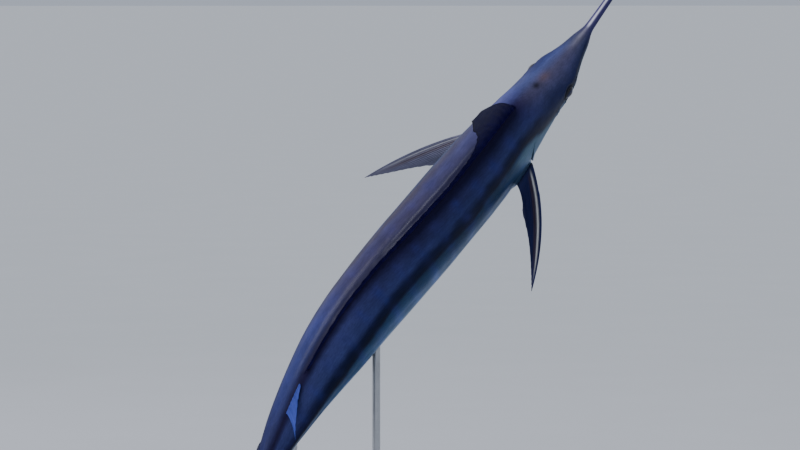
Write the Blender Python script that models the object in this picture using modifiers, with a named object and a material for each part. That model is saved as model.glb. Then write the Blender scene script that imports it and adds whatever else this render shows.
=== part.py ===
# A still, life-size display model of a leaping blue marlin on a plain stand.
# Metres, +Z up. The origin is the middle of the base's underside, and the fish heads toward +X.
# The fish is first described straight: a station runs from the tip of the lower jaw toward the
# tail, across is to its left and height is toward its back. Stations, heights and widths of the
# fish are shares of its length, and posed() then bends them along the spine of the leap.
import math

import bmesh
import bpy
import numpy as np
from mathutils import Vector

# Driving dimensions
LENGTH = 2.4            # tip of the lower jaw to the fork of the tail fin
GAP = 0.0003            # room between pieces that meet
BALANCE_STATION = 0.42  # where the body's weight centres
BALANCE_PLACE = (0.15, 0.0, 1.53)

# The spine of the leap: station, pitch above level, yaw to the left, roll to the right, in degrees
SPINE = (
    (-0.19, 52.2, 3.2, 49.8),
    (0.00, 51.0, 2.3, 50.8),
    (0.12, 49.2, 1.3, 52.2),
    (0.20, 48.2, 0.7, 53.0),
    (0.30, 46.9, 0.0, 56.4),
    (0.40, 46.5, -0.2, 57.7),
    (0.50, 46.2, -0.4, 55.1),
    (0.60, 47.3, 0.2, 49.6),
    (0.70, 50.7, 2.1, 45.5),
    (0.80, 54.1, 4.5, 44.5),
    (0.88, 57.0, 7.1, 48.0),
    (0.95, 58.5, 8.7, 53.0),
    (1.00, 59.6, 9.6, 54.5),
    (1.15, 60.5, 10.5, 54.5),
)

# The body's outline: station, height of the back, depth of the belly, half width
BODY = (
    (-0.190, 0.0016, 0.0016, 0.0020),
    (-0.182, 0.0026, 0.0026, 0.0034),
    (-0.090, 0.0050, 0.0048, 0.0058),
    (0.000, 0.0078, 0.0062, 0.0080),
    (0.031, 0.0130, 0.0130, 0.0158),
    (0.056, 0.0190, 0.0210, 0.0218),
    (0.080, 0.0255, 0.0305, 0.0298),
    (0.100, 0.0310, 0.0380, 0.0370),
    (0.125, 0.0400, 0.0480, 0.0400),
    (0.170, 0.0600, 0.0665, 0.0435),
    (0.215, 0.0805, 0.0800, 0.0480),
    (0.270, 0.0910, 0.0940, 0.0560),
    (0.330, 0.0935, 0.1005, 0.0607),
    (0.400, 0.0925, 0.1000, 0.0627),
    (0.500, 0.0880, 0.0915, 0.0630),
    (0.600, 0.0790, 0.0790, 0.0602),
    (0.700, 0.0655, 0.0635, 0.0562),
    (0.800, 0.0480, 0.0455, 0.0440),
    (0.875, 0.0325, 0.0305, 0.0330),
    (0.925, 0.0235, 0.0220, 0.0235),
    (0.955, 0.0200, 0.0190, 0.0165),
    (0.972, 0.0215, 0.0205, 0.0130),
)

# Where the body is parted into its lengths
HEAD_FRONT = 0.0
HEAD_REAR = 0.231
TRUNK_SPLIT = 0.545
TAIL_FRONT = 0.790
TAIL_REAR = 0.972
BODY_SIDES = 28
BILL_SIDES = 16
SECTION_POWER = 0.94    # 1 makes the section an ellipse, and less makes it fuller

# Head: the mouth's line, the eyes, the nostrils and the gill covers
MOUTH_LINE = ((-0.02, -0.0050), (0.0, -0.0052), (0.03, -0.0058), (0.06, -0.0078), (0.10, -0.0125),
              (0.16, -0.0215))
MOUTH_CORNER = 0.138
LIP_RADIUS = 0.0045
LIP_SUNK = 0.0024
EYE_STATION = 0.121
EYE_HEIGHT = 0.0005
EYE_RADIUS = 0.031
EYE_DEPTH = 0.021
EYE_SUNK = 0.0115
NOSTRILS = ((0.0915, 0.0040), (0.0965, 0.0048))
NOSTRIL_SIZE = (0.0048, 0.0050, 0.0032)
# From the cover's top to its bottom: the stations of its front and rear edges
COVER_EDGES = ((0.0, 0.194, 0.213), (0.12, 0.181, 0.231), (0.30, 0.171, 0.240), (0.50, 0.168, 0.242),
               (0.70, 0.170, 0.236), (0.88, 0.177, 0.221), (1.0, 0.187, 0.203))
COVER_TOP = 66.0        # degrees from the back
COVER_BOTTOM = 156.0
COVER_RADIUS = 0.065
COVER_EDGE_ROOM = 1.8
COVER_SUNK = 0.006
COVER_RAISED = 0.0042
COVER_PROUD = 0.0006
COVER_OPEN = 0.0096

# Fins: base front, base length, number of rays, and for places along the base the edge's
# distance behind the base front and its height above the body
FIRST_DORSAL = 0.219
FIRST_DORSAL_BASE = 0.565
FIRST_DORSAL_EDGE = (
    (0.000, 0.006, 0.016), (0.005, 0.018, 0.040), (0.011, 0.041, 0.086), (0.018, 0.068, 0.128),
    (0.026, 0.097, 0.161), (0.036, 0.122, 0.172), (0.048, 0.119, 0.122), (0.062, 0.110, 0.086),
    (0.078, 0.111, 0.060), (0.095, 0.120, 0.037), (0.120, 0.138, 0.027), (0.160, 0.176, 0.021),
    (0.250, 0.264, 0.017), (0.380, 0.392, 0.011), (0.565, 0.576, 0.006),
)
FIRST_DORSAL_RAYS = 32
FIRST_DORSAL_CUT = 16   # column of the fin's grid where the high lobe and the low rear part
SECOND_DORSAL = 0.811
SECOND_DORSAL_BASE = 0.052
SECOND_DORSAL_EDGE = (
    (0.000, 0.004, 0.0030), (0.010, 0.022, 0.0078), (0.020, 0.040, 0.0128), (0.030, 0.058, 0.0178),
    (0.040, 0.074, 0.0228), (0.052, 0.090, 0.0275),
)
SECOND_ANAL_EDGE = (
    (0.000, 0.004, 0.010), (0.010, 0.019, 0.027), (0.020, 0.033, 0.029), (0.030, 0.048, 0.023),
    (0.040, 0.066, 0.016), (0.050, 0.092, 0.010),
)
FIRST_ANAL = 0.612
FIRST_ANAL_BASE = 0.125
FIRST_ANAL_EDGE = (
    (0.000, 0.005, 0.020), (0.006, 0.020, 0.058), (0.014, 0.040, 0.093), (0.024, 0.063, 0.110),
    (0.036, 0.068, 0.086), (0.050, 0.070, 0.055), (0.065, 0.078, 0.034), (0.085, 0.096, 0.020),
    (0.125, 0.136, 0.010),
)
SECOND_ANAL = 0.812
SECOND_ANAL_BASE = 0.052
FIN_ROOT_SUNK = 0.007
FIN_ROOT_CLEAR = 0.0015
FIN_PARTING = 0.0004    # how far each side of the cut between two lengths of a fin draws back
# Half thickness in the groove, at a ray, between rays and at the edge
LARGE_FIN_HALVES = (0.0050, 0.0042, 0.0018, 0.0006)
SMALL_FIN_HALVES = (0.0042, 0.0032, 0.0016, 0.0006)
FIRST_DORSAL_LEAN = 0.040   # how far a fin leans over to the left for each step it rises
SECOND_DORSAL_LEAN = -1.3
FIRST_ANAL_LEAN = 0.07

# Tail fin: the trailing edge's station at shares of the way from the fork to a lobe's tip
TAIL_EDGE = ((0.0, 1.0), (0.25, 1.008), (0.55, 1.036), (0.80, 1.070), (1.0, 1.105))
TAIL_FIN_HEIGHT = 0.185
TAIL_ROOT_HEIGHT = 0.020
TAIL_FIN_RAYS = 12
TAIL_ROOT_HALF = 0.030
TAIL_FLESHY = 0.34      # share of a ray that is thick with the stem's flesh
TAIL_HALVES = (0.0052, 0.0034, 0.0006)

# Pectoral fins. A pose is given in the fish's own directions ahead, outward and up: the way the
# fin points, the way from its leading to its trailing edge, and how far it bows forward.
PECTORAL_STATION = 0.245
PECTORAL_HEIGHT = -0.045
PECTORAL_LENGTH = 0.223
PECTORAL_BASE = 0.046
PECTORAL_POSES = {
    "left": ((-0.794, 0.567, -0.220), (-0.400, -0.759, -0.513), 0.0124),
    "right": ((-0.773, 0.603, -0.197), (-0.359, -0.672, -0.648), 0.0243),
}
PECTORAL_CHORD = ((0.0, 0.036), (0.15, 0.042), (0.35, 0.041), (0.60, 0.032), (0.80, 0.023),
                  (0.93, 0.013), (1.0, 0.004))
PECTORAL_INNER = 0.38   # share of the fin's length where the innermost ray ends
PECTORAL_RAYS = 12
PECTORAL_ROOT_SUNK = 0.012
PECTORAL_ROOT_OUT = 0.014
PECTORAL_HALVES = (0.0085, 0.0042, 0.0026, 0.0007)

# Pelvic fins: long thin blades under the belly
PELVIC_STATION = 0.266
PELVIC_ACROSS = 0.012
PELVIC_LENGTH = 0.120
PELVIC_WIDTH = 0.0042
PELVIC_AIM = (-0.955, 0.17, -0.24)
PELVIC_SUNK = 0.030
PELVIC_SAG = 0.020
PELVIC_HALVES = (0.0026, 0.0018, 0.0006)

# Keels on the sides of the tail stem
KEEL_FRONT = 0.918
KEEL_REAR = 0.966
KEEL_HEIGHT = 0.0075
KEEL_STANDS = 0.010
KEEL_HALF = 0.0034

# Display stand
BASE_SIZE = (1.36, 0.72, 0.036)
BASE_CORNER = 0.07
BASE_EDGE = 0.008
ROD_RADIUS = 0.016
FRONT_ROD_STATION = 0.60
REAR_ROD_STATION = 0.85
FLANGE_RADIUS = 0.062
FLANGE_HEIGHT = 0.009
SOCKET_START = 0.2      # height where the cutters of the rods' sockets begin, in free air

SLATE = (0.030, 0.035, 0.070)
BILL_COLOR = (0.020, 0.018, 0.020)
FIN_COLOR = (0.020, 0.020, 0.045)
EYE_COLOR = (0.020, 0.030, 0.060)
WOOD_COLOR = (0.100, 0.045, 0.020)
STEEL_COLOR = (0.350, 0.360, 0.380)

COLLECTION = "blue_marlin"
CUTTERS = "cutters"


def smooth(pairs):
    """Return a curve through the pairs that doesn't overshoot between them."""
    xs = np.array([pair[0] for pair in pairs], float)
    ys = np.array([pair[1] for pair in pairs], float)
    steps = np.diff(xs)
    slopes = np.diff(ys) / steps
    tangents = np.empty(len(xs))
    tangents[0] = slopes[0]
    tangents[-1] = slopes[-1]
    for i in range(1, len(xs) - 1):
        before, after = slopes[i - 1], slopes[i]
        tangents[i] = 0.0 if before * after <= 0 else 2 * before * after / (before + after)

    def at(x):
        x = min(max(x, xs[0]), xs[-1])
        i = min(int(np.searchsorted(xs, x, side="right")) - 1, len(steps) - 1)
        t = (x - xs[i]) / steps[i]
        rise = ys[i] * (1 + 2 * t) * (1 - t) ** 2 + ys[i + 1] * t * t * (3 - 2 * t)
        turn = steps[i] * t * (1 - t) * (tangents[i] * (1 - t) - tangents[i + 1] * t)
        return float(rise + turn)

    return at


def column(rows, index):
    """Return a smooth curve through one column of a table."""
    return smooth([(row[0], row[index]) for row in rows])


back_of, belly_of, width_of = (column(BODY, i) for i in (1, 2, 3))
mouth_of = smooth(MOUTH_LINE)
cover_front_of, cover_rear_of = column(COVER_EDGES, 1), column(COVER_EDGES, 2)
pitch_of, yaw_of, roll_of = (column(SPINE, i) for i in (1, 2, 3))


def directions(station):
    """Return the fish's ahead, left and up directions at a station."""
    pitch, yaw, roll = (math.radians(f(station)) for f in (pitch_of, yaw_of, roll_of))
    ahead = np.array([math.cos(pitch) * math.cos(yaw), math.cos(pitch) * math.sin(yaw), math.sin(pitch)])
    level_left = np.array([-math.sin(yaw), math.cos(yaw), 0.0])
    upright = np.cross(ahead, level_left)
    left = math.cos(roll) * level_left + math.sin(roll) * upright
    return ahead, left, np.cross(ahead, left)


def spine_points():
    """Return stations and the spine's place at each, stepped along its direction."""
    stations = np.linspace(SPINE[0][0] - 0.02, SPINE[-1][0] + 0.02, 600)
    step = (stations[1] - stations[0]) * LENGTH
    places = [np.zeros(3)]
    for station in (stations[:-1] + stations[1:]) / 2:
        places.append(places[-1] - step * directions(station)[0])
    places = np.array(places)
    at_balance = [np.interp(BALANCE_STATION, stations, places[:, i]) for i in range(3)]
    return stations, places + np.array(BALANCE_PLACE) - at_balance


SPINE_STATIONS, SPINE_PLACES = spine_points()


def posed(station, across, height):
    """Place a point of the straight fish, given in shares of its length, in the leap."""
    place = np.array([np.interp(station, SPINE_STATIONS, SPINE_PLACES[:, i]) for i in range(3)])
    ahead, left, up = directions(station)
    return Vector(place + LENGTH * (across * left + height * up))


def section_point(station, angle, raised=0.0):
    """Return across and height on the body's surface. The angle starts at the back, to the left."""
    sine, cosine = math.sin(angle), math.cos(angle)
    depth = back_of(station) if cosine >= 0 else belly_of(station)
    width = width_of(station)
    across = width * math.copysign(abs(sine) ** SECTION_POWER, sine)
    height = depth * math.copysign(abs(cosine) ** SECTION_POWER, cosine)
    if raised:
        normal = np.array([across / width ** 2, height / depth ** 2])
        normal = normal / np.linalg.norm(normal)
        across += normal[0] * raised / LENGTH
        height += normal[1] * raised / LENGTH
    return across, height


def surface_across(station, height):
    """Return how far the left flank stands from the middle at a height."""
    depth = back_of(station) if height >= 0 else belly_of(station)
    cosine = min(abs(height) / depth, 1.0) ** (1 / SECTION_POWER)
    return width_of(station) * math.sqrt(1 - cosine ** 2) ** SECTION_POWER


def new_object(name, mesh, color, roughness, metallic=0.0):
    """Add an object with its own material to the model's collection."""
    thing = bpy.data.objects.new(name, mesh)
    bpy.data.collections[COLLECTION].objects.link(thing)
    material = bpy.data.materials.new(name)
    material.use_nodes = True
    shader = material.node_tree.nodes["Principled BSDF"]
    shader.inputs["Base Color"].default_value = (*color, 1.0)
    shader.inputs["Roughness"].default_value = roughness
    shader.inputs["Metallic"].default_value = metallic
    thing.data.materials.clear()
    thing.data.materials.append(material)
    thing.data.shade_smooth()
    thing.data.set_sharp_from_angle(angle=math.radians(35))
    return thing


def new_cutter(name, mesh):
    """Add an object that only cuts others."""
    thing = bpy.data.objects.new(name, mesh)
    bpy.data.collections[CUTTERS].objects.link(thing)
    thing.hide_render = True
    thing.display_type = "WIRE"
    return thing


def boolean(thing, cutter, operation="DIFFERENCE"):
    """Cut or join one object with another."""
    modifier = thing.modifiers.new(cutter.name, "BOOLEAN")
    modifier.operation = operation
    modifier.object = cutter
    modifier.solver = "EXACT"


def closed_mesh(name, points, faces):
    """Make a mesh of triangles with its faces pointing out."""
    shape = bmesh.new()
    corners = [shape.verts.new(point) for point in points]
    for face in faces:
        shape.faces.new([corners[i] for i in face])
    bmesh.ops.recalc_face_normals(shape, faces=shape.faces)
    mesh = bpy.data.meshes.new(name)
    shape.to_mesh(mesh)
    shape.free()
    return mesh


def loft(name, rings):
    """Join rings of the same count of points into a closed skin, with a fan over each end."""
    sides = len(rings[0])
    points = [point for ring in rings for point in ring]
    faces = []
    for r in range(len(rings) - 1):
        for k in range(sides):
            here, there = r * sides + k, r * sides + (k + 1) % sides
            faces += [(here, there, there + sides), (here, there + sides, here + sides)]
    for first in (0, (len(rings) - 1) * sides):
        middle = len(points)
        points.append(sum((points[first + k] for k in range(sides)), Vector()) / sides)
        faces += [(middle, first + k, first + (k + 1) % sides) for k in range(sides)]
    return closed_mesh(name, points, faces)


def sweep(name, stations, section):
    """Sweep a section, given as across and height points for a station, along the spine."""
    return loft(name, [[posed(station, *point) for point in section(station)] for station in stations])


def body_section(sides):
    """Return the section function of the body with this many sides."""
    def section(station):
        return [section_point(station, 2 * math.pi * k / sides) for k in range(sides)]
    return section


def between(first, last, count):
    """Return stations from first to last, held back at both ends by half a gap."""
    room = 0.5 * GAP / LENGTH
    return np.linspace(first + room, last - room, count)


def box_section(half_width, low, high):
    """Return a section function of a box between two heights that may change with the station."""
    def section(station):
        return [(half_width, low(station)), (half_width, high(station)),
                (-half_width, high(station)), (-half_width, low(station))]
    return section


def ellipsoid(name, centre, axes, sizes, across=16, around=10):
    """Make a stretched ball from a sphere primitive, on three given axes."""
    shape = bmesh.new()
    bmesh.ops.create_uvsphere(shape, u_segments=across, v_segments=around, radius=1.0)
    for vertex in shape.verts:
        offset = Vector()
        for axis, size, value in zip(axes, sizes, vertex.co):
            offset += Vector(axis) * size * value
        vertex.co = centre + offset
    bmesh.ops.triangulate(shape, faces=shape.faces)
    bmesh.ops.recalc_face_normals(shape, faces=shape.faces)
    mesh = bpy.data.meshes.new(name)
    shape.to_mesh(mesh)
    shape.free()
    return mesh


def plate_mesh(name, columns, rows, layers):
    """Make a plate between two grids of points, given as functions of column and row.

    Both faces are split into triangles alike, so that they can't cross where the plate bends."""
    points = [layer(c, r) for layer in layers for c in range(columns) for r in range(rows)]
    count = columns * rows
    faces = []
    for c in range(columns - 1):
        for r in range(rows - 1):
            a, b = c * rows + r, (c + 1) * rows + r
            faces += [(a, b, b + 1), (a, b + 1, a + 1)]
            faces += [(count + a, count + b + 1, count + b), (count + a, count + a + 1, count + b + 1)]
    rim = [c * rows for c in range(columns)]
    rim += [(columns - 1) * rows + r for r in range(1, rows)]
    rim += [c * rows + rows - 1 for c in range(columns - 2, -1, -1)]
    rim += [r for r in range(rows - 2, 0, -1)]
    for i, a in enumerate(rim):
        b = rim[(i + 1) % len(rim)]
        faces += [(a, count + a, b), (b, count + a, count + b)]
    return closed_mesh(name, points, faces)


def fin_mesh(name, columns, rows, point, face, half):
    """Make a thin fin from its middle points, face directions and half thicknesses."""
    layers = (lambda c, r: point(c, r) + half(c, r) * face(c, r),
              lambda c, r: point(c, r) - half(c, r) * face(c, r))
    return plate_mesh(name, columns, rows, layers)


def ray_ridge(c, r, rows, root, ray, web, tip):
    """Return a fin's half thickness: rays stand above the web and both thin out to the edge."""
    if r < 2:
        return root
    along = (r - 1) / (rows - 2)
    full = ray if c % 2 else web
    return full + (tip - full) * along ** 1.3


def curve_point(start, bend, end, t):
    """Return a point on a curve from start to end that is drawn toward bend."""
    return tuple((1 - t) ** 2 * a + 2 * t * (1 - t) * b + t * t * c for a, b, c in zip(start, bend, end))


def median_fin(name, front, base, rays, edge, under, crowd, sizes, hosts, lean=0.0, span=None):
    """Make a fin on the fish's middle line, or a span of its columns, with its root in a groove."""
    edge_back, edge_height = column(edge, 1), column(edge, 2)
    first, last = span or (0, 2 * rays)
    rows = 5
    root_half, ray_half, web_half, tip_half = sizes
    surface = belly_of if under else back_of
    sign = -1 if under else 1

    def base_of(k):
        return base * (k / (2 * rays)) ** crowd

    def point(c, r):
        k = first + c
        parting = FIN_PARTING * ((c == 0 and first > 0) - (k == last < 2 * rays)) / LENGTH
        along = base_of(k)
        ground = surface(front + along)
        if r == 0:
            return posed(front + along + parting, 0, sign * (ground - FIN_ROOT_SUNK / LENGTH))
        start = (front + along, ground + FIN_ROOT_CLEAR / LENGTH)
        tip = front + edge_back(along)
        end = (tip, surface(tip) + edge_height(along))
        bend = (0.72 * start[0] + 0.28 * end[0], 0.35 * start[1] + 0.65 * end[1])
        station, height = curve_point(start, bend, end, (r - 1) / (rows - 2))
        raised = height - surface(station) - FIN_ROOT_CLEAR / LENGTH
        return posed(station + parting, lean * max(0.0, raised), sign * height)

    def face(c, r):
        _, left, up = directions(front + base_of(first + c))
        return Vector(left - (sign * lean if r > 1 else 0.0) * up).normalized()

    def half(c, r):
        return ray_ridge(first + c, r, rows, root_half, ray_half, web_half, tip_half)

    mesh = fin_mesh(name, last - first + 1, rows, point, face, half)
    fin = new_object(name, mesh, FIN_COLOR, 0.4)
    ends = GAP / LENGTH
    stations = [front + base_of(k) for k in range(first, last + 1, 2)]
    stations[0] -= ends
    stations[-1] += ends
    deep = (FIN_ROOT_SUNK + GAP) / LENGTH
    proud = 4 * FIN_ROOT_CLEAR / LENGTH
    if under:
        section = box_section((root_half + GAP) / LENGTH, lambda s: -belly_of(s) - proud,
                              lambda s: deep - belly_of(s))
    else:
        section = box_section((root_half + GAP) / LENGTH, lambda s: back_of(s) - deep,
                              lambda s: back_of(s) + proud)
    groove = new_cutter(name + "_groove", sweep(name + "_groove", stations, section))
    for host in hosts:
        boolean(host, groove)
    return fin


def tail_lobe(name, sign):
    """Make one lobe of the tail fin. Its rays fan out from the end of the tail stem."""
    columns, rows = 2 * TAIL_FIN_RAYS + 1, 6
    root_station = TAIL_REAR + GAP / LENGTH
    middle = 0.5 * GAP / LENGTH
    edge_of = smooth(TAIL_EDGE)
    ray_half, web_half, tip_half = TAIL_HALVES

    def point(c, r):
        share = 1 - c / (columns - 1)
        start = (root_station, middle + (TAIL_ROOT_HEIGHT - middle) * share)
        reach = share ** 0.8
        end = (edge_of(reach), middle + (TAIL_FIN_HEIGHT - middle) * reach)
        bend = (start[0] + 0.30 * (end[0] - start[0]), start[1] + 0.52 * (end[1] - start[1]))
        station, height = curve_point(start, bend, end, r / (rows - 1))
        return posed(station, 0, sign * height)

    def face(c, r):
        return Vector(directions(TAIL_REAR)[1])

    def half(c, r):
        share = 1 - c / (columns - 1)
        root = TAIL_ROOT_HALF * math.sqrt(max(0.0, 1 - share ** 2)) + 0.003
        along = r / (rows - 1)
        full = ray_half if c % 2 or c == 0 else web_half
        thick = root + (full - root) * min(1.0, along / TAIL_FLESHY) ** 0.7
        return thick + (tip_half - thick) * max(0.0, (along - TAIL_FLESHY) / (1 - TAIL_FLESHY)) ** 1.2

    return new_object(name, fin_mesh(name, columns, rows, point, face, half), FIN_COLOR, 0.4)


def pectoral_fin(word, side, host):
    """Make a pectoral fin held out like a wing, with its fleshy root let into the flank."""
    name = "pectoral_fin_" + word
    ahead, left, up = directions(PECTORAL_STATION)
    outward = left * side
    aim_shares, chord_shares, bow = PECTORAL_POSES[word]

    def in_leap(shares):
        return Vector(shares[0] * ahead + shares[1] * outward + shares[2] * up)

    aim = in_leap(aim_shares).normalized()
    chord_way = in_leap(chord_shares)
    chord_way = (chord_way - aim * chord_way.dot(aim)).normalized()
    face_way = chord_way.cross(aim).normalized()
    root_front = posed(PECTORAL_STATION, side * surface_across(PECTORAL_STATION, PECTORAL_HEIGHT),
                       PECTORAL_HEIGHT)
    rear_station = PECTORAL_STATION + PECTORAL_BASE
    root_rear = posed(rear_station, side * surface_across(rear_station, PECTORAL_HEIGHT + 0.002),
                      PECTORAL_HEIGHT + 0.002)
    chord_of = smooth(PECTORAL_CHORD)
    columns, rows = 2 * PECTORAL_RAYS + 1, 7
    root_half, ray_half, web_half, tip_half = PECTORAL_HALVES

    def outline(along, share):
        lead = -4 * bow * along * (1 - along)
        return PECTORAL_LENGTH * along, lead + share * chord_of(along)

    def place(c, depth):
        share = c / (columns - 1)
        return root_front.lerp(root_rear, share) - Vector(outward) * depth

    def point(c, r):
        if r == 0:
            return place(c, PECTORAL_ROOT_SUNK)
        share = c / (columns - 1)
        start = place(c, -PECTORAL_ROOT_OUT)
        local = start - root_front
        start_flat = (local.dot(aim) / LENGTH, local.dot(chord_way) / LENGTH)
        reach = 1 - (1 - PECTORAL_INNER) * share ** 1.6
        end_flat = outline(reach, share ** 0.5)
        middle = ((start_flat[0] + end_flat[0]) / 2, (start_flat[1] + end_flat[1]) / 2)
        bowed = outline(0.5 * reach, share)
        bend = tuple(m + 2 * (1 - share) * (b - m) for m, b in zip(middle, bowed))
        t = (r - 1) / (rows - 2)
        x, y = curve_point(start_flat, bend, end_flat, t)
        lift = local.dot(face_way) * (1 - t) ** 2
        return root_front + aim * x * LENGTH + chord_way * y * LENGTH + face_way * lift

    def half(c, r):
        if r < 2:
            return root_half
        along = (r - 1) / (rows - 2)
        full = ray_half if c % 2 or c == 0 else web_half
        thick = root_half + (full - root_half) * min(1.0, along / 0.3)
        return thick + (tip_half - thick) * along ** 1.6

    mesh = fin_mesh(name, columns, rows, point, lambda c, r: face_way, half)
    fin = new_object(name, mesh, FIN_COLOR, 0.35)

    def socket_point(c, r):
        end_room = GAP * (-1 if c == 0 else 1 if c == columns - 1 else 0)
        return place(c, PECTORAL_ROOT_SUNK + GAP if r == 0 else -PECTORAL_ROOT_OUT) - Vector(ahead) * end_room

    socket = fin_mesh(name + "_socket", columns, 2, socket_point, lambda c, r: face_way,
                      lambda c, r: root_half + GAP)
    boolean(host, new_cutter(name + "_socket", socket))
    return fin


def pelvic_fin(name, side, host):
    """Make a pelvic fin, a long thin blade that trails under the belly."""
    ahead, left, up = directions(PELVIC_STATION)
    outward = left * side
    aim = Vector(PELVIC_AIM[0] * ahead + PELVIC_AIM[1] * outward + PELVIC_AIM[2] * up).normalized()
    chord_way = Vector(outward)
    chord_way = (chord_way - aim * chord_way.dot(aim)).normalized()
    face_way = aim.cross(chord_way).normalized()
    angle = math.pi - math.asin(PELVIC_ACROSS / width_of(PELVIC_STATION))
    depth = section_point(PELVIC_STATION, angle)[1]
    root = posed(PELVIC_STATION, side * PELVIC_ACROSS, depth)
    columns, rows = 5, 9
    ray_half, web_half, tip_half = PELVIC_HALVES

    def point(c, r, more=0.0):
        share = 2 * c / (columns - 1) - 1
        t = r / (rows - 1)
        x = -(PELVIC_SUNK + more) + t * (PELVIC_LENGTH * LENGTH + PELVIC_SUNK)
        width = PELVIC_WIDTH * LENGTH * (1 - 0.78 * t ** 1.4)
        sag = PELVIC_SAG * t * t
        return root + aim * x + chord_way * (share * (0.5 * width + more)) + Vector(up) * (sag - 0.001)

    def half(c, r):
        t = r / (rows - 1)
        full = ray_half if c % 2 else web_half
        return full + (tip_half - full) * t

    mesh = fin_mesh(name, columns, rows, point, lambda c, r: face_way, half)
    fin = new_object(name, mesh, FIN_COLOR, 0.4)
    socket = fin_mesh(name + "_socket", columns, 3, lambda c, r: point(c, r, GAP), lambda c, r: face_way,
                      lambda c, r: half(c, r) + GAP)
    boolean(host, new_cutter(name + "_socket", socket))
    return fin


def cover_mesh(name, side, room=0.0):
    """Make a gill cover, a bowed plate over the gills that stands proud along its free rear edge.

    With room it is the pocket: larger all round, and open to the outside."""
    columns, rows = 7, 11
    edge_room = COVER_EDGE_ROOM * room
    room_angle = edge_room / (COVER_RADIUS * LENGTH)
    high = math.radians(COVER_TOP) - room_angle
    low = math.radians(COVER_BOTTOM) + room_angle

    def grid(raised_of):
        def point(c, r):
            u, v = c / (columns - 1), r / (rows - 1)
            front = cover_front_of(v) - edge_room / LENGTH
            rear = cover_rear_of(v) + edge_room / LENGTH
            station = front + (rear - front) * u
            across, height = section_point(station, high + (low - high) * v, raised_of(u))
            return posed(station, side * across, height)
        return point

    outer = grid(lambda u: COVER_RAISED * u ** 1.5 + (COVER_PROUD if not room else COVER_OPEN))
    inner = grid(lambda u: -COVER_SUNK - room)
    return plate_mesh(name, columns, rows, (outer, inner))


def add_lips(head, jaw):
    """Round a lip along both sides of the mouth, half on the head and half on the lower jaw."""
    stations = np.linspace(0.012, MOUTH_CORNER + 0.006, 11)
    for side, word in ((1, "left"), (-1, "right")):
        def section(station):
            height = mouth_of(station)
            middle = side * (surface_across(station, height) - LIP_SUNK / LENGTH)
            size = LIP_RADIUS / LENGTH * min(1.0, 0.5 + station / 0.06)
            turns = [2 * math.pi * k / 8 for k in range(8)]
            return [(middle + size * math.cos(turn), height + size * math.sin(turn)) for turn in turns]
        name = "lip_" + word
        lip = new_cutter(name, sweep(name, stations, section))
        boolean(head, lip, "UNION")
        boolean(jaw, lip, "UNION")


def jaw_block(name, room):
    """Make the block below the mouth's line that parts the lower jaw from the head."""
    stations = np.linspace(-0.02, MOUTH_CORNER + room / LENGTH, 12)
    section = box_section(0.08, lambda s: -0.12, lambda s: mouth_of(s) + room / LENGTH)
    return new_cutter(name, sweep(name, stations, section))


def eye_mesh(name, side, room=0.0):
    """Make an eyeball, flattened and let into the side of the head."""
    ahead, left, up = directions(EYE_STATION)
    middle = surface_across(EYE_STATION, EYE_HEIGHT) - EYE_SUNK / LENGTH
    centre = posed(EYE_STATION, side * middle, EYE_HEIGHT)
    sizes = (EYE_RADIUS + room, EYE_RADIUS + room, EYE_DEPTH + room)
    return ellipsoid(name, centre, (ahead, up, left), sizes)


def keel_mesh(name, side, height_sign):
    """Make one of the two keels on a side of the tail stem."""
    count = 9

    def section(station):
        share = (station - KEEL_FRONT) / (KEEL_REAR - KEEL_FRONT)
        swell = math.sin(math.pi * min(max(share, 0.04), 0.96)) ** 0.7
        height = height_sign * KEEL_HEIGHT * (0.55 + 0.45 * share)
        ground = surface_across(station, height)
        reach = ground + KEEL_STANDS / LENGTH * swell
        thick = KEEL_HALF / LENGTH * (0.4 + swell)
        return [(side * (ground - 0.004), height - thick), (side * (ground - 0.004), height + thick),
                (side * reach, height + 0.3 * thick), (side * reach, height - 0.3 * thick)]

    return sweep(name, np.linspace(KEEL_FRONT, KEEL_REAR, count), section)


def stand_base():
    """Make the flat base with round corners and an eased upper edge."""
    shape = bmesh.new()
    bmesh.ops.create_cube(shape, size=1.0)
    for vertex in shape.verts:
        vertex.co = [value * size for value, size in zip(vertex.co, BASE_SIZE)]
        vertex.co.z += BASE_SIZE[2] / 2
    upright = [edge for edge in shape.edges if abs(edge.verts[0].co.z - edge.verts[1].co.z) > 0.01]
    bmesh.ops.bevel(shape, geom=upright, offset=BASE_CORNER, segments=6, affect="EDGES", profile=0.5)
    rim = [edge for edge in shape.edges if min(vertex.co.z for vertex in edge.verts) > BASE_SIZE[2] - 0.001]
    bmesh.ops.bevel(shape, geom=rim, offset=BASE_EDGE, segments=3, affect="EDGES", profile=0.5)
    mesh = bpy.data.meshes.new("stand_base")
    shape.to_mesh(mesh)
    shape.free()
    return new_object("stand_base", mesh, WOOD_COLOR, 0.35)


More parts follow.
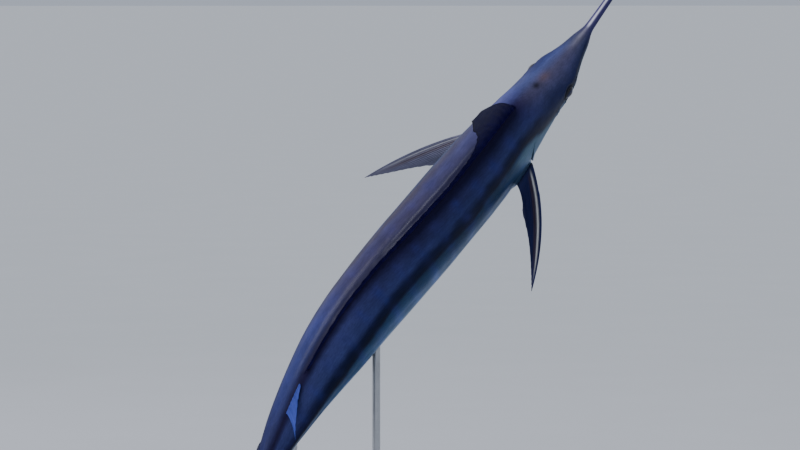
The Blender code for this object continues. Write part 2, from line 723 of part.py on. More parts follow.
def stand_rod(name, station, host):
    """Turn an upright rod with a round foot, up into a socket in the fish."""
    top = posed(station, 0, 0)
    foot = BASE_SIZE[2] + GAP
    height = top.z - foot
    profile = [(0, height), (ROD_RADIUS - 0.002, height), (ROD_RADIUS, height - 0.002),
               (ROD_RADIUS, FLANGE_HEIGHT + 0.02), (ROD_RADIUS + 0.004, FLANGE_HEIGHT + 0.008),
               (ROD_RADIUS + 0.014, FLANGE_HEIGHT + 0.002), (FLANGE_RADIUS - 0.003, FLANGE_HEIGHT),
               (FLANGE_RADIUS, FLANGE_HEIGHT - 0.003), (FLANGE_RADIUS, 0), (0, 0)]
    mesh = bpy.data.meshes.new(name)
    mesh.from_pydata([(x, 0, z) for x, z in profile], [(i, i + 1) for i in range(len(profile) - 1)], [])
    rod = new_object(name, mesh, STEEL_COLOR, 0.3, 1.0)
    rod.location = (top.x, top.y, foot)
    turn = rod.modifiers.new("turned", "SCREW")
    turn.axis = "Z"
    turn.steps = turn.render_steps = 24
    turn.use_merge_vertices = True
    turn.merge_threshold = 0.0001
    shape = bmesh.new()
    bmesh.ops.create_cone(shape, cap_ends=True, segments=24, radius1=ROD_RADIUS + GAP,
                          radius2=ROD_RADIUS + GAP, depth=top.z + GAP - SOCKET_START)
    for vertex in shape.verts:
        vertex.co += Vector((top.x, top.y, (top.z + GAP + SOCKET_START) / 2))
    bmesh.ops.triangulate(shape, faces=shape.faces)
    cut = bpy.data.meshes.new(name + "_socket")
    shape.to_mesh(cut)
    shape.free()
    boolean(host, new_cutter(name + "_socket", cut))
    return rod


def clear_scene():
    """Empty the scene and add the two collections."""
    for thing in list(bpy.data.objects):
        bpy.data.objects.remove(thing, do_unlink=True)
    for name in (COLLECTION, CUTTERS):
        bpy.context.scene.collection.children.link(bpy.data.collections.new(name))


def main():
    clear_scene()
    full = body_section(BODY_SIDES)
    bill_stations = np.concatenate((between(-0.19, -0.182, 3)[:-1], between(-0.182, HEAD_FRONT, 7)))
    new_object("bill", sweep("bill", bill_stations, body_section(BILL_SIDES)), BILL_COLOR, 0.35)
    head = new_object("head", sweep("head", between(HEAD_FRONT, HEAD_REAR, 15), full), SLATE, 0.3)
    jaw = new_object("lower_jaw", sweep("lower_jaw", between(HEAD_FRONT, 0.17, 11), full), SLATE, 0.3)
    trunk_front = new_object("trunk_front", sweep("trunk_front", between(HEAD_REAR, TRUNK_SPLIT, 11), full),
                             SLATE, 0.3)
    trunk_rear = new_object("trunk_rear", sweep("trunk_rear", between(TRUNK_SPLIT, TAIL_FRONT, 9), full),
                            SLATE, 0.3)
    tail = new_object("tail_stem", sweep("tail_stem", between(TAIL_FRONT, TAIL_REAR, 10), full), SLATE, 0.3)

    add_lips(head, jaw)
    boolean(head, jaw_block("jaw_space", GAP))
    boolean(jaw, jaw_block("jaw_part", 0.0), "INTERSECT")

    for side, word in ((1, "left"), (-1, "right")):
        new_object("eye_" + word, eye_mesh("eye_" + word, side), EYE_COLOR, 0.08)
        boolean(head, new_cutter("eye_socket_" + word, eye_mesh("eye_socket_" + word, side, GAP)))
        ahead, left, up = directions(EYE_STATION)
        for i, (station, height) in enumerate(NOSTRILS):
            name = f"nostril_{word}_{i + 1}"
            centre = posed(station, side * surface_across(station, height), height)
            cutter = ellipsoid(name, centre, (ahead, left, up), NOSTRIL_SIZE, 10, 6)
            boolean(head, new_cutter(name, cutter))
        name = "gill_cover_" + word
        new_object(name, cover_mesh(name, side), SLATE, 0.3)
        pocket = new_cutter(name + "_pocket", cover_mesh(name + "_pocket", side, GAP))
        boolean(head, pocket)
        boolean(trunk_front, pocket)
        for height_sign, place in ((1, "upper"), (-1, "lower")):
            name = f"keel_{place}_{word}"
            boolean(tail, new_cutter(name, keel_mesh(name, side, height_sign)), "UNION")
        pectoral_fin(word, side, trunk_front)
        pelvic_fin("pelvic_fin_" + word, side, trunk_front)

    for name, span, hosts in (
            ("dorsal_fin_first_lobe", (0, FIRST_DORSAL_CUT), (head, trunk_front)),
            ("dorsal_fin_first_rear", (FIRST_DORSAL_CUT, 2 * FIRST_DORSAL_RAYS), (trunk_front, trunk_rear))):
        median_fin(name, FIRST_DORSAL, FIRST_DORSAL_BASE, FIRST_DORSAL_RAYS, FIRST_DORSAL_EDGE, False, 1.4,
                   LARGE_FIN_HALVES, hosts, lean=FIRST_DORSAL_LEAN, span=span)
    median_fin("dorsal_fin_second", SECOND_DORSAL, SECOND_DORSAL_BASE, 7, SECOND_DORSAL_EDGE, False, 1.0,
               SMALL_FIN_HALVES, (tail,), lean=SECOND_DORSAL_LEAN)
    median_fin("anal_fin_first", FIRST_ANAL, FIRST_ANAL_BASE, 13, FIRST_ANAL_EDGE, True, 1.2,
               LARGE_FIN_HALVES, (trunk_rear,), lean=FIRST_ANAL_LEAN)
    median_fin("anal_fin_second", SECOND_ANAL, SECOND_ANAL_BASE, 7, SECOND_ANAL_EDGE, True, 1.0,
               SMALL_FIN_HALVES, (tail,))
    tail_lobe("tail_fin_upper", 1)
    tail_lobe("tail_fin_lower", -1)

    stand_base()
    stand_rod("stand_rod_front", FRONT_ROD_STATION, trunk_rear)
    stand_rod("stand_rod_rear", REAR_ROD_STATION, tail)


main()
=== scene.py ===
# The looks of the leaping blue marlin and its display stand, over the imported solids.
# Metres, +Z up. The fish is first described straight, as the solids are: a station runs from the
# tip of the lower jaw toward the tail, across is to its left and height is toward its back, all in
# shares of its length, and posed() then bends them along the spine of the leap. An angle on the skin
# is in degrees from the middle of the back.
import itertools
import math

import bpy
import numpy as np
from mathutils import Matrix, Vector


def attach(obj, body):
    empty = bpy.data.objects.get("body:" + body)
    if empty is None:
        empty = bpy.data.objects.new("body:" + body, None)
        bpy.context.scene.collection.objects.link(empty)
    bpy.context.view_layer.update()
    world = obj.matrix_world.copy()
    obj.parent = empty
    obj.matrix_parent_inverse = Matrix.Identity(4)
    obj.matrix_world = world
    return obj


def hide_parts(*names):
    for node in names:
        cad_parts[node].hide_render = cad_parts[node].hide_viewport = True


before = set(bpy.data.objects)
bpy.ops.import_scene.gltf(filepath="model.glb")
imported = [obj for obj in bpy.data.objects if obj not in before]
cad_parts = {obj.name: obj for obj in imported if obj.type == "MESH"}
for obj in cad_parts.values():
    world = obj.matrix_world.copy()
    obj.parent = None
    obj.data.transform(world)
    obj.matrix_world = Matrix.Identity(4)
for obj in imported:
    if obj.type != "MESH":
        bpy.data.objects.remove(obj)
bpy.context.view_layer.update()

LENGTH = 2.4
BALANCE_STATION = 0.42
BALANCE_PLACE = (0.15, 0.0, 1.53)
SIDES = ((1, "left"), (-1, "right"))

# The spine of the leap: station, pitch above level, yaw to the left, roll to the right, in degrees
SPINE = (
    (-0.19, 52.2, 3.2, 49.8),
    (0.00, 51.0, 2.3, 50.8),
    (0.12, 49.2, 1.3, 52.2),
    (0.20, 48.2, 0.7, 53.0),
    (0.30, 46.9, 0.0, 56.4),
    (0.40, 46.5, -0.2, 57.7),
    (0.50, 46.2, -0.4, 55.1),
    (0.60, 47.3, 0.2, 49.6),
    (0.70, 50.7, 2.1, 45.5),
    (0.80, 54.1, 4.5, 44.5),
    (0.88, 57.0, 7.1, 48.0),
    (0.95, 58.5, 8.7, 53.0),
    (1.00, 59.6, 9.6, 54.5),
    (1.15, 60.5, 10.5, 54.5),
)

# The body's outline: station, height of the back, depth of the belly, half width
BODY = (
    (-0.190, 0.0016, 0.0016, 0.0020),
    (-0.182, 0.0026, 0.0026, 0.0034),
    (-0.090, 0.0050, 0.0048, 0.0058),
    (0.000, 0.0078, 0.0062, 0.0080),
    (0.031, 0.0130, 0.0130, 0.0158),
    (0.056, 0.0190, 0.0210, 0.0218),
    (0.080, 0.0255, 0.0305, 0.0298),
    (0.100, 0.0310, 0.0380, 0.0370),
    (0.125, 0.0400, 0.0480, 0.0400),
    (0.170, 0.0600, 0.0665, 0.0435),
    (0.215, 0.0805, 0.0800, 0.0480),
    (0.270, 0.0910, 0.0940, 0.0560),
    (0.330, 0.0935, 0.1005, 0.0607),
    (0.400, 0.0925, 0.1000, 0.0627),
    (0.500, 0.0880, 0.0915, 0.0630),
    (0.600, 0.0790, 0.0790, 0.0602),
    (0.700, 0.0655, 0.0635, 0.0562),
    (0.800, 0.0480, 0.0455, 0.0440),
    (0.875, 0.0325, 0.0305, 0.0330),
    (0.925, 0.0235, 0.0220, 0.0235),
    (0.955, 0.0200, 0.0190, 0.0165),
    (0.972, 0.0215, 0.0205, 0.0130),
)
SECTION_POWER = 0.94
BILL_TIP = -0.190
BILL_ROUND = 0.0022
TAIL_REAR = 0.972

# Head. Radii, half thicknesses and how far things are raised or sunk are in metres, here and below
MOUTH_LINE = ((-0.02, -0.0050), (0.0, -0.0052), (0.03, -0.0058), (0.06, -0.0078), (0.10, -0.0125),
              (0.16, -0.0215))
MOUTH_CORNER = 0.138
MOUTH_ROW = 110.0       # degrees from the back: the row of the skin that is drawn to the mouth's line
EYE_STATION = 0.121
EYE_HEIGHT = 0.0005
EYE_RADIUS = 0.031
EYE_DEPTH = 0.021
EYE_SUNK = 0.0115
NOSTRILS = ((0.0915, 0.0040), (0.0965, 0.0048))
# The gill cover: share from top to bottom, and the stations of its front and rear edges there
COVER_EDGES = ((0.0, 0.194, 0.213), (0.12, 0.181, 0.231), (0.30, 0.171, 0.240), (0.50, 0.168, 0.242),
               (0.70, 0.170, 0.236), (0.88, 0.177, 0.221), (1.0, 0.187, 0.203))
COVER_TOP = 66.0
COVER_BOTTOM = 156.0
COVER_RAISED = 0.0042
COVER_PROUD = 0.0006
COVER_COLUMN = 0.236    # station of the skin's column that is drawn to the gill cover's rear edge
CROWN_STATION = 0.134   # the tan patch on the crown
CROWN_SPOT = 0.159      # the dark spot behind it
# The eye's socket in metres, and its rings: distance from the eye's middle, height and width
SOCKET_DEPTH = 0.0170
SOCKET_RINGS = ((0.0300, 0.0017, 0.0038), (0.0375, -0.0010, 0.0035), (0.0450, 0.0007, 0.0040))
SOCKET_TALL = 1.08      # how much taller than wide it is
# Lines on the side of the head, in metres along it and above its middle
BROW = ((0.205, 0.026), (0.245, 0.037), (0.290, 0.043), (0.335, 0.044))
CHEEK_BONE = ((0.150, -0.006), (0.200, -0.010), (0.262, -0.020), (0.318, -0.032), (0.338, -0.044),
              (0.342, -0.058))
CHEEK_RIDGE = ((0.384, 0.030), (0.378, 0.012), (0.374, -0.005), (0.374, -0.040), (0.364, -0.075),
               (0.340, -0.098), (0.300, -0.108))

# Stretches of the skin: first station, last station and the columns of its grid
SKIN_STRETCHES = (
    (BILL_TIP, BILL_TIP + BILL_ROUND, 8), (BILL_TIP + BILL_ROUND, -0.182, 6), (-0.182, -0.01, 80),
    (-0.01, 0.165, 290), (0.165, 0.30, 136), (0.30, 0.905, 250), (0.905, TAIL_REAR, 70),
)

# Fins on the middle line: front station, length of the base and number of rays
FIRST_DORSAL = (0.219, 0.565, 32)
SECOND_DORSAL = (0.811, 0.052, 7)
FIRST_ANAL = (0.612, 0.125, 13)
SECOND_ANAL = (0.812, 0.052, 7)
# How far they lean to the left for each metre of height
FIRST_DORSAL_LEAN = 0.040
SECOND_DORSAL_LEAN = -1.3
FIRST_ANAL_LEAN = 0.07
# Their edges: how far behind the front a ray starts and ends, and how high above the body it ends
FIRST_DORSAL_EDGE = (
    (0.000, 0.006, 0.016), (0.005, 0.018, 0.040), (0.011, 0.041, 0.086), (0.018, 0.068, 0.128),
    (0.026, 0.097, 0.161), (0.036, 0.122, 0.172), (0.048, 0.119, 0.122), (0.062, 0.110, 0.086),
    (0.078, 0.111, 0.060), (0.095, 0.120, 0.037), (0.120, 0.138, 0.027), (0.160, 0.176, 0.021),
    (0.250, 0.264, 0.017), (0.380, 0.392, 0.011), (0.565, 0.576, 0.006),
)
SECOND_DORSAL_EDGE = (
    (0.000, 0.004, 0.0030), (0.010, 0.022, 0.0078), (0.020, 0.040, 0.0128), (0.030, 0.058, 0.0178),
    (0.040, 0.074, 0.0228), (0.052, 0.090, 0.0275),
)
SECOND_ANAL_EDGE = (
    (0.000, 0.004, 0.010), (0.010, 0.019, 0.027), (0.020, 0.033, 0.029), (0.030, 0.048, 0.023),
    (0.040, 0.066, 0.016), (0.050, 0.092, 0.010),
)
FIRST_ANAL_EDGE = (
    (0.000, 0.005, 0.020), (0.006, 0.020, 0.058), (0.014, 0.040, 0.093), (0.024, 0.063, 0.110),
    (0.036, 0.068, 0.086), (0.050, 0.070, 0.055), (0.065, 0.078, 0.034), (0.085, 0.096, 0.020),
    (0.125, 0.136, 0.010),
)
FIN_ROOT_SUNK = 0.006
FIN_ROOT_CLEAR = 0.0015
FIN_ROUGH = 0.42
# Sheaths along the fins' bases: first and last station, and whether they lie on the belly
SHEATHS = ((0.222, 0.790, False), (0.811, 0.863, False), (0.612, 0.742, True), (0.812, 0.866, True))
PELVIC_GROOVE = (0.275, 0.400)
VENT_STATION = 0.600
NOTCH_STATION = 0.9625
LARGE_FIN_HALVES = (0.0031, 0.0013, 0.0006)     # half thickness at a ray, between rays and at the edge
SMALL_FIN_HALVES = (0.0021, 0.0011, 0.0005)

# The tail fin's rear edge: share of a lobe's height and the station there
TAIL_EDGE = ((0.0, 1.0), (0.25, 1.008), (0.55, 1.036), (0.80, 1.070), (1.0, 1.105))
TAIL_FIN_HEIGHT = 0.185
TAIL_ROOT_HEIGHT = 0.020
TAIL_FIN_RAYS = 12
TAIL_ROOT_HALF = 0.030
TAIL_FLESHY = 0.34
TAIL_HALVES = (0.0050, 0.0024, 0.0006)

PECTORAL_STATION = 0.245
PECTORAL_HEIGHT = -0.045
PECTORAL_LENGTH = 0.223
PECTORAL_BASE = 0.046
# How each is held: the directions of its length and of its width, each in shares ahead, outward and
# up, and how far it bows
PECTORAL_POSES = {
    "left": ((-0.794, 0.567, -0.220), (-0.400, -0.759, -0.513), 0.0124),
    "right": ((-0.773, 0.603, -0.197), (-0.359, -0.672, -0.648), 0.0243),
}
# Share of its length and its width there
PECTORAL_CHORD = ((0.0, 0.036), (0.15, 0.042), (0.35, 0.041), (0.60, 0.032), (0.80, 0.023),
                  (0.93, 0.013), (1.0, 0.004))
PECTORAL_INNER = 0.38
PECTORAL_RAYS = 12
PECTORAL_ROOT_OUT = 0.014
# Stations and heights of the ends of its root, and the same in metres in the side view
PECTORAL_ENDS = ((PECTORAL_STATION, PECTORAL_HEIGHT),
                 (PECTORAL_STATION + PECTORAL_BASE, PECTORAL_HEIGHT + 0.002))
PECTORAL_ROOT = (((PECTORAL_STATION - 0.003) * LENGTH, PECTORAL_HEIGHT * LENGTH),
                 tuple(value * LENGTH for value in PECTORAL_ENDS[1]))
# Painted highlight: how strong the pale line behind the leading edge is, strongest on the right fin
PECTORAL_HIGHLIGHT_SHARE = {"left": 0.2, "right": 0.95}     # how strong the pale line behind the leading edge is
# Painted light: how much grey brown covers the blue, mostly on the left fin, which faces the light
PECTORAL_LIGHT_SHARE = {"left": 0.6, "right": 0.03}     # how much grey brown covers the blue
# Half thickness at the root, at a ray, between rays and at the edge
PECTORAL_HALVES = (0.0085, 0.0042, 0.0018, 0.0007)

PELVIC_STATION = 0.266
PELVIC_ACROSS = 0.012
PELVIC_LENGTH = 0.120
PELVIC_WIDTH = 0.0042
PELVIC_AIM = (-0.955, 0.17, -0.24)
PELVIC_SUNK = 0.030
PELVIC_SAG = 0.020
PELVIC_HALVES = (0.0026, 0.0012, 0.0006)

KEEL_FRONT = 0.918
KEEL_REAR = 0.966
KEEL_HEIGHT = 0.0075
KEEL_STANDS = 0.010

# Bars down the flanks
BAR_FIRST = 0.2745
BAR_STEP = 0.0485
BAR_WEIGHTS = (0.45, 0.5, 0.6, 0.95, 0.6, 1.0, 0.6, 1.0, 0.9, 0.75, 0.6, 0.5, 0.4)

# The photograph's camera, in pixels of the picture where no other unit is named
PICTURE = (800, 450)
SENSOR = 36.0                       # millimetres
FOCAL = 4462.5
HORIZON = 223                       # above the picture's middle
BALANCE_PIXEL = (443.2, 213.2)      # where the balance place shows
CAMERA_TURN = -25.35                # degrees
CAMERA_DISTANCE = 18.0              # metres

# The stage. Lights: name, kind, place, strength, colour and size, in degrees for a sun
LIGHTS = (
    ("key", "SUN", (-7.3, 1.0, 8.1), 1.6, (1.0, 0.98, 0.96), 20.0),
    ("top_light", "SUN", (-5.45, -2.9, 9.33), 0.95, (0.92, 0.93, 1.0), 9.0),
    ("left_softbox", "AREA", (-1.8, 7.5, 6.5), 120.0, (0.93, 0.84, 1.0), 8.0),
)
SKY_COLOR = (0.76, 0.84, 1.0, 1.0)
SKY_STRENGTH = 0.55
FLOOR_COLOR = (0.52, 0.54, 0.56, 1.0)
FLOOR_REACH = 2600.0


def smooth(pairs):
    """Return a curve through the pairs, for arrays, that doesn't overshoot between them."""
    xs, ys = (np.array(values, float) for values in zip(*pairs))
    steps = np.diff(xs)
    slopes = np.diff(ys) / steps
    tangents = np.zeros(len(xs))
    tangents[0], tangents[-1] = slopes[0], slopes[-1]
    for i in range(1, len(xs) - 1):
        before, after = slopes[i - 1], slopes[i]
        tangents[i] = 0.0 if before * after <= 0 else 2 * before * after / (before + after)

    def at(x):
        x = np.clip(x, xs[0], xs[-1])
        i = np.clip(np.searchsorted(xs, x, side="right") - 1, 0, len(steps) - 1)
        t = (x - xs[i]) / steps[i]
        rise = ys[i] * (1 + 2 * t) * (1 - t) ** 2 + ys[i + 1] * t * t * (3 - 2 * t)
        return rise + steps[i] * t * (1 - t) * (tangents[i] * (1 - t) - tangents[i + 1] * t)

    return at


def column(rows, index):
    """Return a smooth curve through one column of a table."""
    return smooth([(row[0], row[index]) for row in rows])


back_of, belly_of, width_of = (column(BODY, i) for i in (1, 2, 3))
mouth_of = smooth(MOUTH_LINE)
cover_front_of, cover_rear_of = column(COVER_EDGES, 1), column(COVER_EDGES, 2)
pitch_of, yaw_of, roll_of = (column(SPINE, i) for i in (1, 2, 3))


def directions(station):
    """Return the fish's ahead, left and up directions at stations."""
    station = np.asarray(station, float)
    pitch, yaw, roll = (np.radians(curve(station)) for curve in (pitch_of, yaw_of, roll_of))
    ahead = np.stack((np.cos(pitch) * np.cos(yaw), np.cos(pitch) * np.sin(yaw), np.sin(pitch)), -1)
    level_left = np.stack((-np.sin(yaw), np.cos(yaw), np.zeros_like(yaw)), -1)
    upright = np.cross(ahead, level_left)
    turn = roll[..., None]
    left = np.cos(turn) * level_left + np.sin(turn) * upright
    return ahead, left, np.cross(ahead, left)


def spine_points():
    """Return stations and the spine's place at each, stepped along its direction."""
    stations = np.linspace(SPINE[0][0] - 0.02, SPINE[-1][0] + 0.02, 600)
    step = (stations[1] - stations[0]) * LENGTH
    ahead = directions((stations[:-1] + stations[1:]) / 2)[0]
    places = np.concatenate((np.zeros((1, 3)), np.cumsum(-step * ahead, axis=0)))
    at_balance = [np.interp(BALANCE_STATION, stations, places[:, i]) for i in range(3)]
    return stations, places + np.array(BALANCE_PLACE) - at_balance


SPINE_STATIONS, SPINE_PLACES = spine_points()


def posed(station, across, height):
    """Place points of the straight fish, given in shares of its length, in the leap."""
    values = (np.asarray(value, float) for value in (station, across, height))
    station, across, height = np.broadcast_arrays(*values)
    place = np.stack([np.interp(station, SPINE_STATIONS, SPINE_PLACES[:, i]) for i in range(3)], -1)
    _, left, up = directions(station)
    return place + LENGTH * (across[..., None] * left + height[..., None] * up)


def section(station, angle, raised=0.0):
    """Return across and height on the body's surface. The angle starts at the back, to the left."""
    sine, cosine = np.sin(angle), np.cos(angle)
    depth = np.where(cosine >= 0, back_of(station), belly_of(station))
    width = width_of(station)
    across = width * np.sign(sine) * np.abs(sine) ** SECTION_POWER
    height = depth * np.sign(cosine) * np.abs(cosine) ** SECTION_POWER
    out_across, out_height = across / width ** 2, height / depth ** 2
    size = np.hypot(out_across, out_height)
    return across + out_across / size * raised / LENGTH, height + out_height / size * raised / LENGTH


def surface_across(station, height):
    """Return how far the left flank stands from the middle at heights."""
    depth = np.where(np.asarray(height) >= 0, back_of(station), belly_of(station))
    cosine = np.minimum(np.abs(height) / depth, 1.0) ** (1 / SECTION_POWER)
    return width_of(station) * np.sqrt(1 - cosine ** 2) ** SECTION_POWER


def step(low, high, x):
    """Rise smoothly from 0 at low to 1 at high."""
    t = np.clip((x - low) / (high - low), 0, 1)
    return t * t * (3 - 2 * t)


def fall(low, high, x):
    """Fall smoothly from 1 at low to 0 at high."""
    return 1 - step(low, high, x)


def window(rise, drop, x):
    """Rise to 1 between the first two values and fall back between the last two."""
    return step(*rise, x) * fall(*drop, x)


def within(low, high, edge, x):
    """Return 1 between two values, with soft ends."""
    return window((low - edge, low + edge), (high - edge, high + edge), x)


def near(distance, width):
    """Return 1 on a line and fall smoothly to 0 over the width."""
    return np.exp(-(distance / width) ** 2)


def waves(x, period, phase=0):
    """Return a wave from 0 to 1 and back in each period."""
    return 0.5 + 0.5 * np.cos(np.radians(x * 360 / period) + phase)


def between(first, second, share):
    """Blend two values by shares."""
    return first + (second - first) * share


def line_distance(x, z, points):
    """Return how far points of the side view are from a line of points."""
    best = np.full(np.shape(x), 9)
    for (ax, az), (bx, bz) in zip(points, points[1:]):
        dx, dz = bx - ax, bz - az
        t = np.clip(((x - ax) * dx + (z - az) * dz) / (dx * dx + dz * dz), 0, 1)
        best = np.minimum(best, np.hypot(x - ax - t * dx, z - az - t * dz))
    return best


def eye_distance(x, z):
    """Return how far points of the side view are from the eye's middle."""
    return np.hypot(x - EYE_STATION * LENGTH, (z - EYE_HEIGHT * LENGTH) / SOCKET_TALL)


def noise(points, scale, seed):
    """Return smooth random values from -1 to 1 at points."""
    table = np.random.default_rng(seed).uniform(-1, 1, (32, 32, 32))
    spots = points * np.asarray(scale, float) + 96
    low = np.floor(spots).astype(int)
    part = spots - low
    part = part * part * (3 - 2 * part)
    value = np.zeros(points.shape[:-1])
    for corner in itertools.product((0, 1), repeat=3):
        index = (low + corner) % 32
        weight = np.prod(np.where(np.array(corner, bool), part, 1 - part), -1)
        value += weight * table[index[..., 0], index[..., 1], index[..., 2]]
    return value


def srgb(*values):
    """Return the linear colour of a screen colour, or of several, given from 0 to 255."""
    shares = np.array(values, float) / 255
    return np.where(shares <= 0.04045, shares / 12.92, ((shares + 0.055) / 1.055) ** 2.4)


def mix(first, second, share):
    """Blend two colours, or arrays of them, by shares."""
    return between(first, second, np.asarray(share)[..., None])


def lit(color, share):
    """Lighten colours by shares, or darken them where the share is negative."""
    return color * (1 + share)[..., None]


def toned(color, tone, share):
    """Multiply colours by a tone, in full where the share is 1."""
    return color * (1 + (tone - 1) * share[..., None])


def ramp(x, stops):
    """Return colours from stops of a value and a screen colour."""
    places = [stop[0] for stop in stops]
    colors = srgb(*(stop[1:] for stop in stops))
    return np.stack([np.interp(x, places, colors[:, i]) for i in range(3)], -1)


def grid(columns, rows):
    """Return the column's and the row's value at each point of a grid."""
    return np.meshgrid(columns, rows, indexing="ij")


def wrapped_faces(columns, rows):
    """Return the faces of a grid whose rows close into rings, pointing out."""
    c, r = grid(np.arange(columns - 1), np.arange(rows))
    here, after = c * rows + r, c * rows + (r + 1) % rows
    return np.stack((here, after, after + rows, here + rows), -1).reshape(-1, 4)


def sheet_faces(columns, rows):
    """Return the faces of two joined layers of a grid: the first layer points to its face side."""
    count = columns * rows
    c, r = grid(np.arange(columns - 1), np.arange(rows - 1))
    a = (c * rows + r).ravel()
    b = a + rows
    faces = [np.stack((a, b, b + 1, a + 1), -1), np.stack((a, a + 1, b + 1, b), -1) + count]
    rim = np.concatenate((np.arange(columns) * rows, (columns - 1) * rows + np.arange(1, rows),
                          np.arange(columns - 2, -1, -1) * rows + rows - 1, np.arange(rows - 2, 0, -1)))
    ahead = np.roll(rim, -1)
    faces.append(np.stack((rim, rim + count, ahead + count, ahead), -1))
    return np.concatenate(faces)


def outward_faces(points, faces):
    """Return a closed mesh's faces, turned round if they point in."""
    a, b, c, d = (points[faces[:, i]] for i in range(4))
    volume = np.sum(a * np.cross(b, c)) + np.sum(a * np.cross(c, d))
    return faces[:, ::-1] if volume < 0 else faces


def linked(name, data):
    """Add an object with its data to the scene."""
    thing = bpy.data.objects.new(name, data)
    bpy.context.scene.collection.objects.link(thing)
    return thing


def new_piece(name, points, faces, rest, tint, finish, look, nodes):
    """Add a piece with the attributes that its material reads, in place of the named nodes."""
    mesh = bpy.data.meshes.new(name)
    mesh.from_pydata(points.reshape(-1, 3), [], faces)
    mesh.update()
    for label, values in (("rest", rest), ("tint", tint), ("finish", finish)):
        values = values.reshape(-1, 3)
        kind, field = "FLOAT_VECTOR", "vector"
        if label != "rest":
            kind, field = "FLOAT_COLOR", "color"
            values = np.concatenate((values, np.ones((len(values), 1))), 1)
        layer = mesh.attributes.new(label, kind, "POINT")
        layer.data.foreach_set(field, values.astype(np.float32).ravel())
    mesh.shade_smooth()
    mesh.materials.append(look)
    piece = linked(name, mesh)
    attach(piece, "root")
    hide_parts(*nodes)


def head_relief(x, z, station, angle, across):
    """Return how far the head's features stand out. Their heights and widths are in metres."""
    # The eye's socket: the skin dips under the ball, with a rounded rim and a shallow ring outside
    around = eye_distance(x, z)
    flank = window((25, 45), (135, 155), angle)
    raised = -flank * SOCKET_DEPTH * fall(0.0215, 0.0275, around)
    for ring, height, width in SOCKET_RINGS:
        raised += flank * height * near(around - ring, width)
    raised += 0.0015 * near(line_distance(x, z, BROW), 0.013)
    for pit_station, pit_height in NOSTRILS:
        pit = np.hypot(x - pit_station * LENGTH, z - pit_height * LENGTH)
        raised += flank * (0.0009 * near(pit - 0.0036, 0.0013) - 0.0042 * near(pit, 0.0021))
    # The mouth: two lips and the line between them
    below = z - mouth_of(station) * LENGTH
    size = np.minimum(1, 0.5 + station / 0.06)
    size = size * step(0.3, 0.6, np.abs(across) / np.maximum(width_of(station), 1e-6))
    lips = window((0.004, 0.016), (MOUTH_CORNER - 0.002, MOUTH_CORNER + 0.007), station)
    raised += lips * size * 0.0024 * near(np.abs(below) - 0.0034, 0.0024)
    gape = window((-0.002, 0.006), (MOUTH_CORNER - 0.004, MOUTH_CORNER + 0.003), station)
    raised -= gape * size * 0.005 * near(below, 0.0011)
    # The jaw's tip stands below the bill
    tip = step(-0.001, 0.004, -below) * window((-0.045, -0.004), (-0.0008, 0.0035), station)
    raised -= 0.003 * tip
    # The bone above the mouth's corner
    bone = line_distance(x, z, CHEEK_BONE)
    raised += 0.0013 * near(bone - 0.004, 0.003) - 0.0012 * near(bone, 0.0016)
    # The cheek's ridge between the eye and the gill cover
    ridge = line_distance(x, z, CHEEK_RIDGE)
    fading = flank * fall(-0.018, 0.022, z)
    raised += fading * (0.0022 * near(ridge - 0.006, 0.006) - 0.0016 * near(ridge, 0.0026))
    # Folds of the skin under the throat
    throat = within(0.1, 0.192, 0.014, station) * step(147, 156, angle)
    raised -= throat * 0.0011 * waves(angle - 149, 6.2)
    # The middle groove under the jaw
    groove = within(0.02, 0.16, 0.02, station) * step(120, 160, angle)
    return raised - groove * 0.0018 * near(across * LENGTH, 0.004)


def cover_relief(station, angle):
    """Return how far the gill cover stands out, and the mask of the slit behind its edge."""
    v = (angle - COVER_TOP) / (COVER_BOTTOM - COVER_TOP)
    front, rear = cover_front_of(v), cover_rear_of(v)
    u = (station - front) / (rear - front)
    ends = window((0.04, 0.42), (0.9, 1.03), v)
    on = window((0, 0.02), (0.999, 1.004), u) * ends
    raised = on * (COVER_PROUD + COVER_RAISED * np.clip(u, 0, 1) ** 1.5)
    behind = (station - rear) * LENGTH
    slit = ends * step(0.2, 0.45, v) * window((-0.0002, 0.0006), (0.0015, 0.01), behind)
    raised -= 0.0045 * slit + 0.0003 * ends * near((station - front) * LENGTH, 0.003)
    # The plate's own edge line a little ahead of the soft rim, and faint rays over it
    raised -= ends * 0.0008 * near(u - 0.86, 0.025) * step(0.12, 0.3, v)
    fan = np.sin(np.arctan2((angle - 92) / 40, (station - 0.165) * 30) * 26)
    raised += on * 0.00035 * fan * window((0.15, 0.5), (0.75, 0.9), u)
    return raised, slit


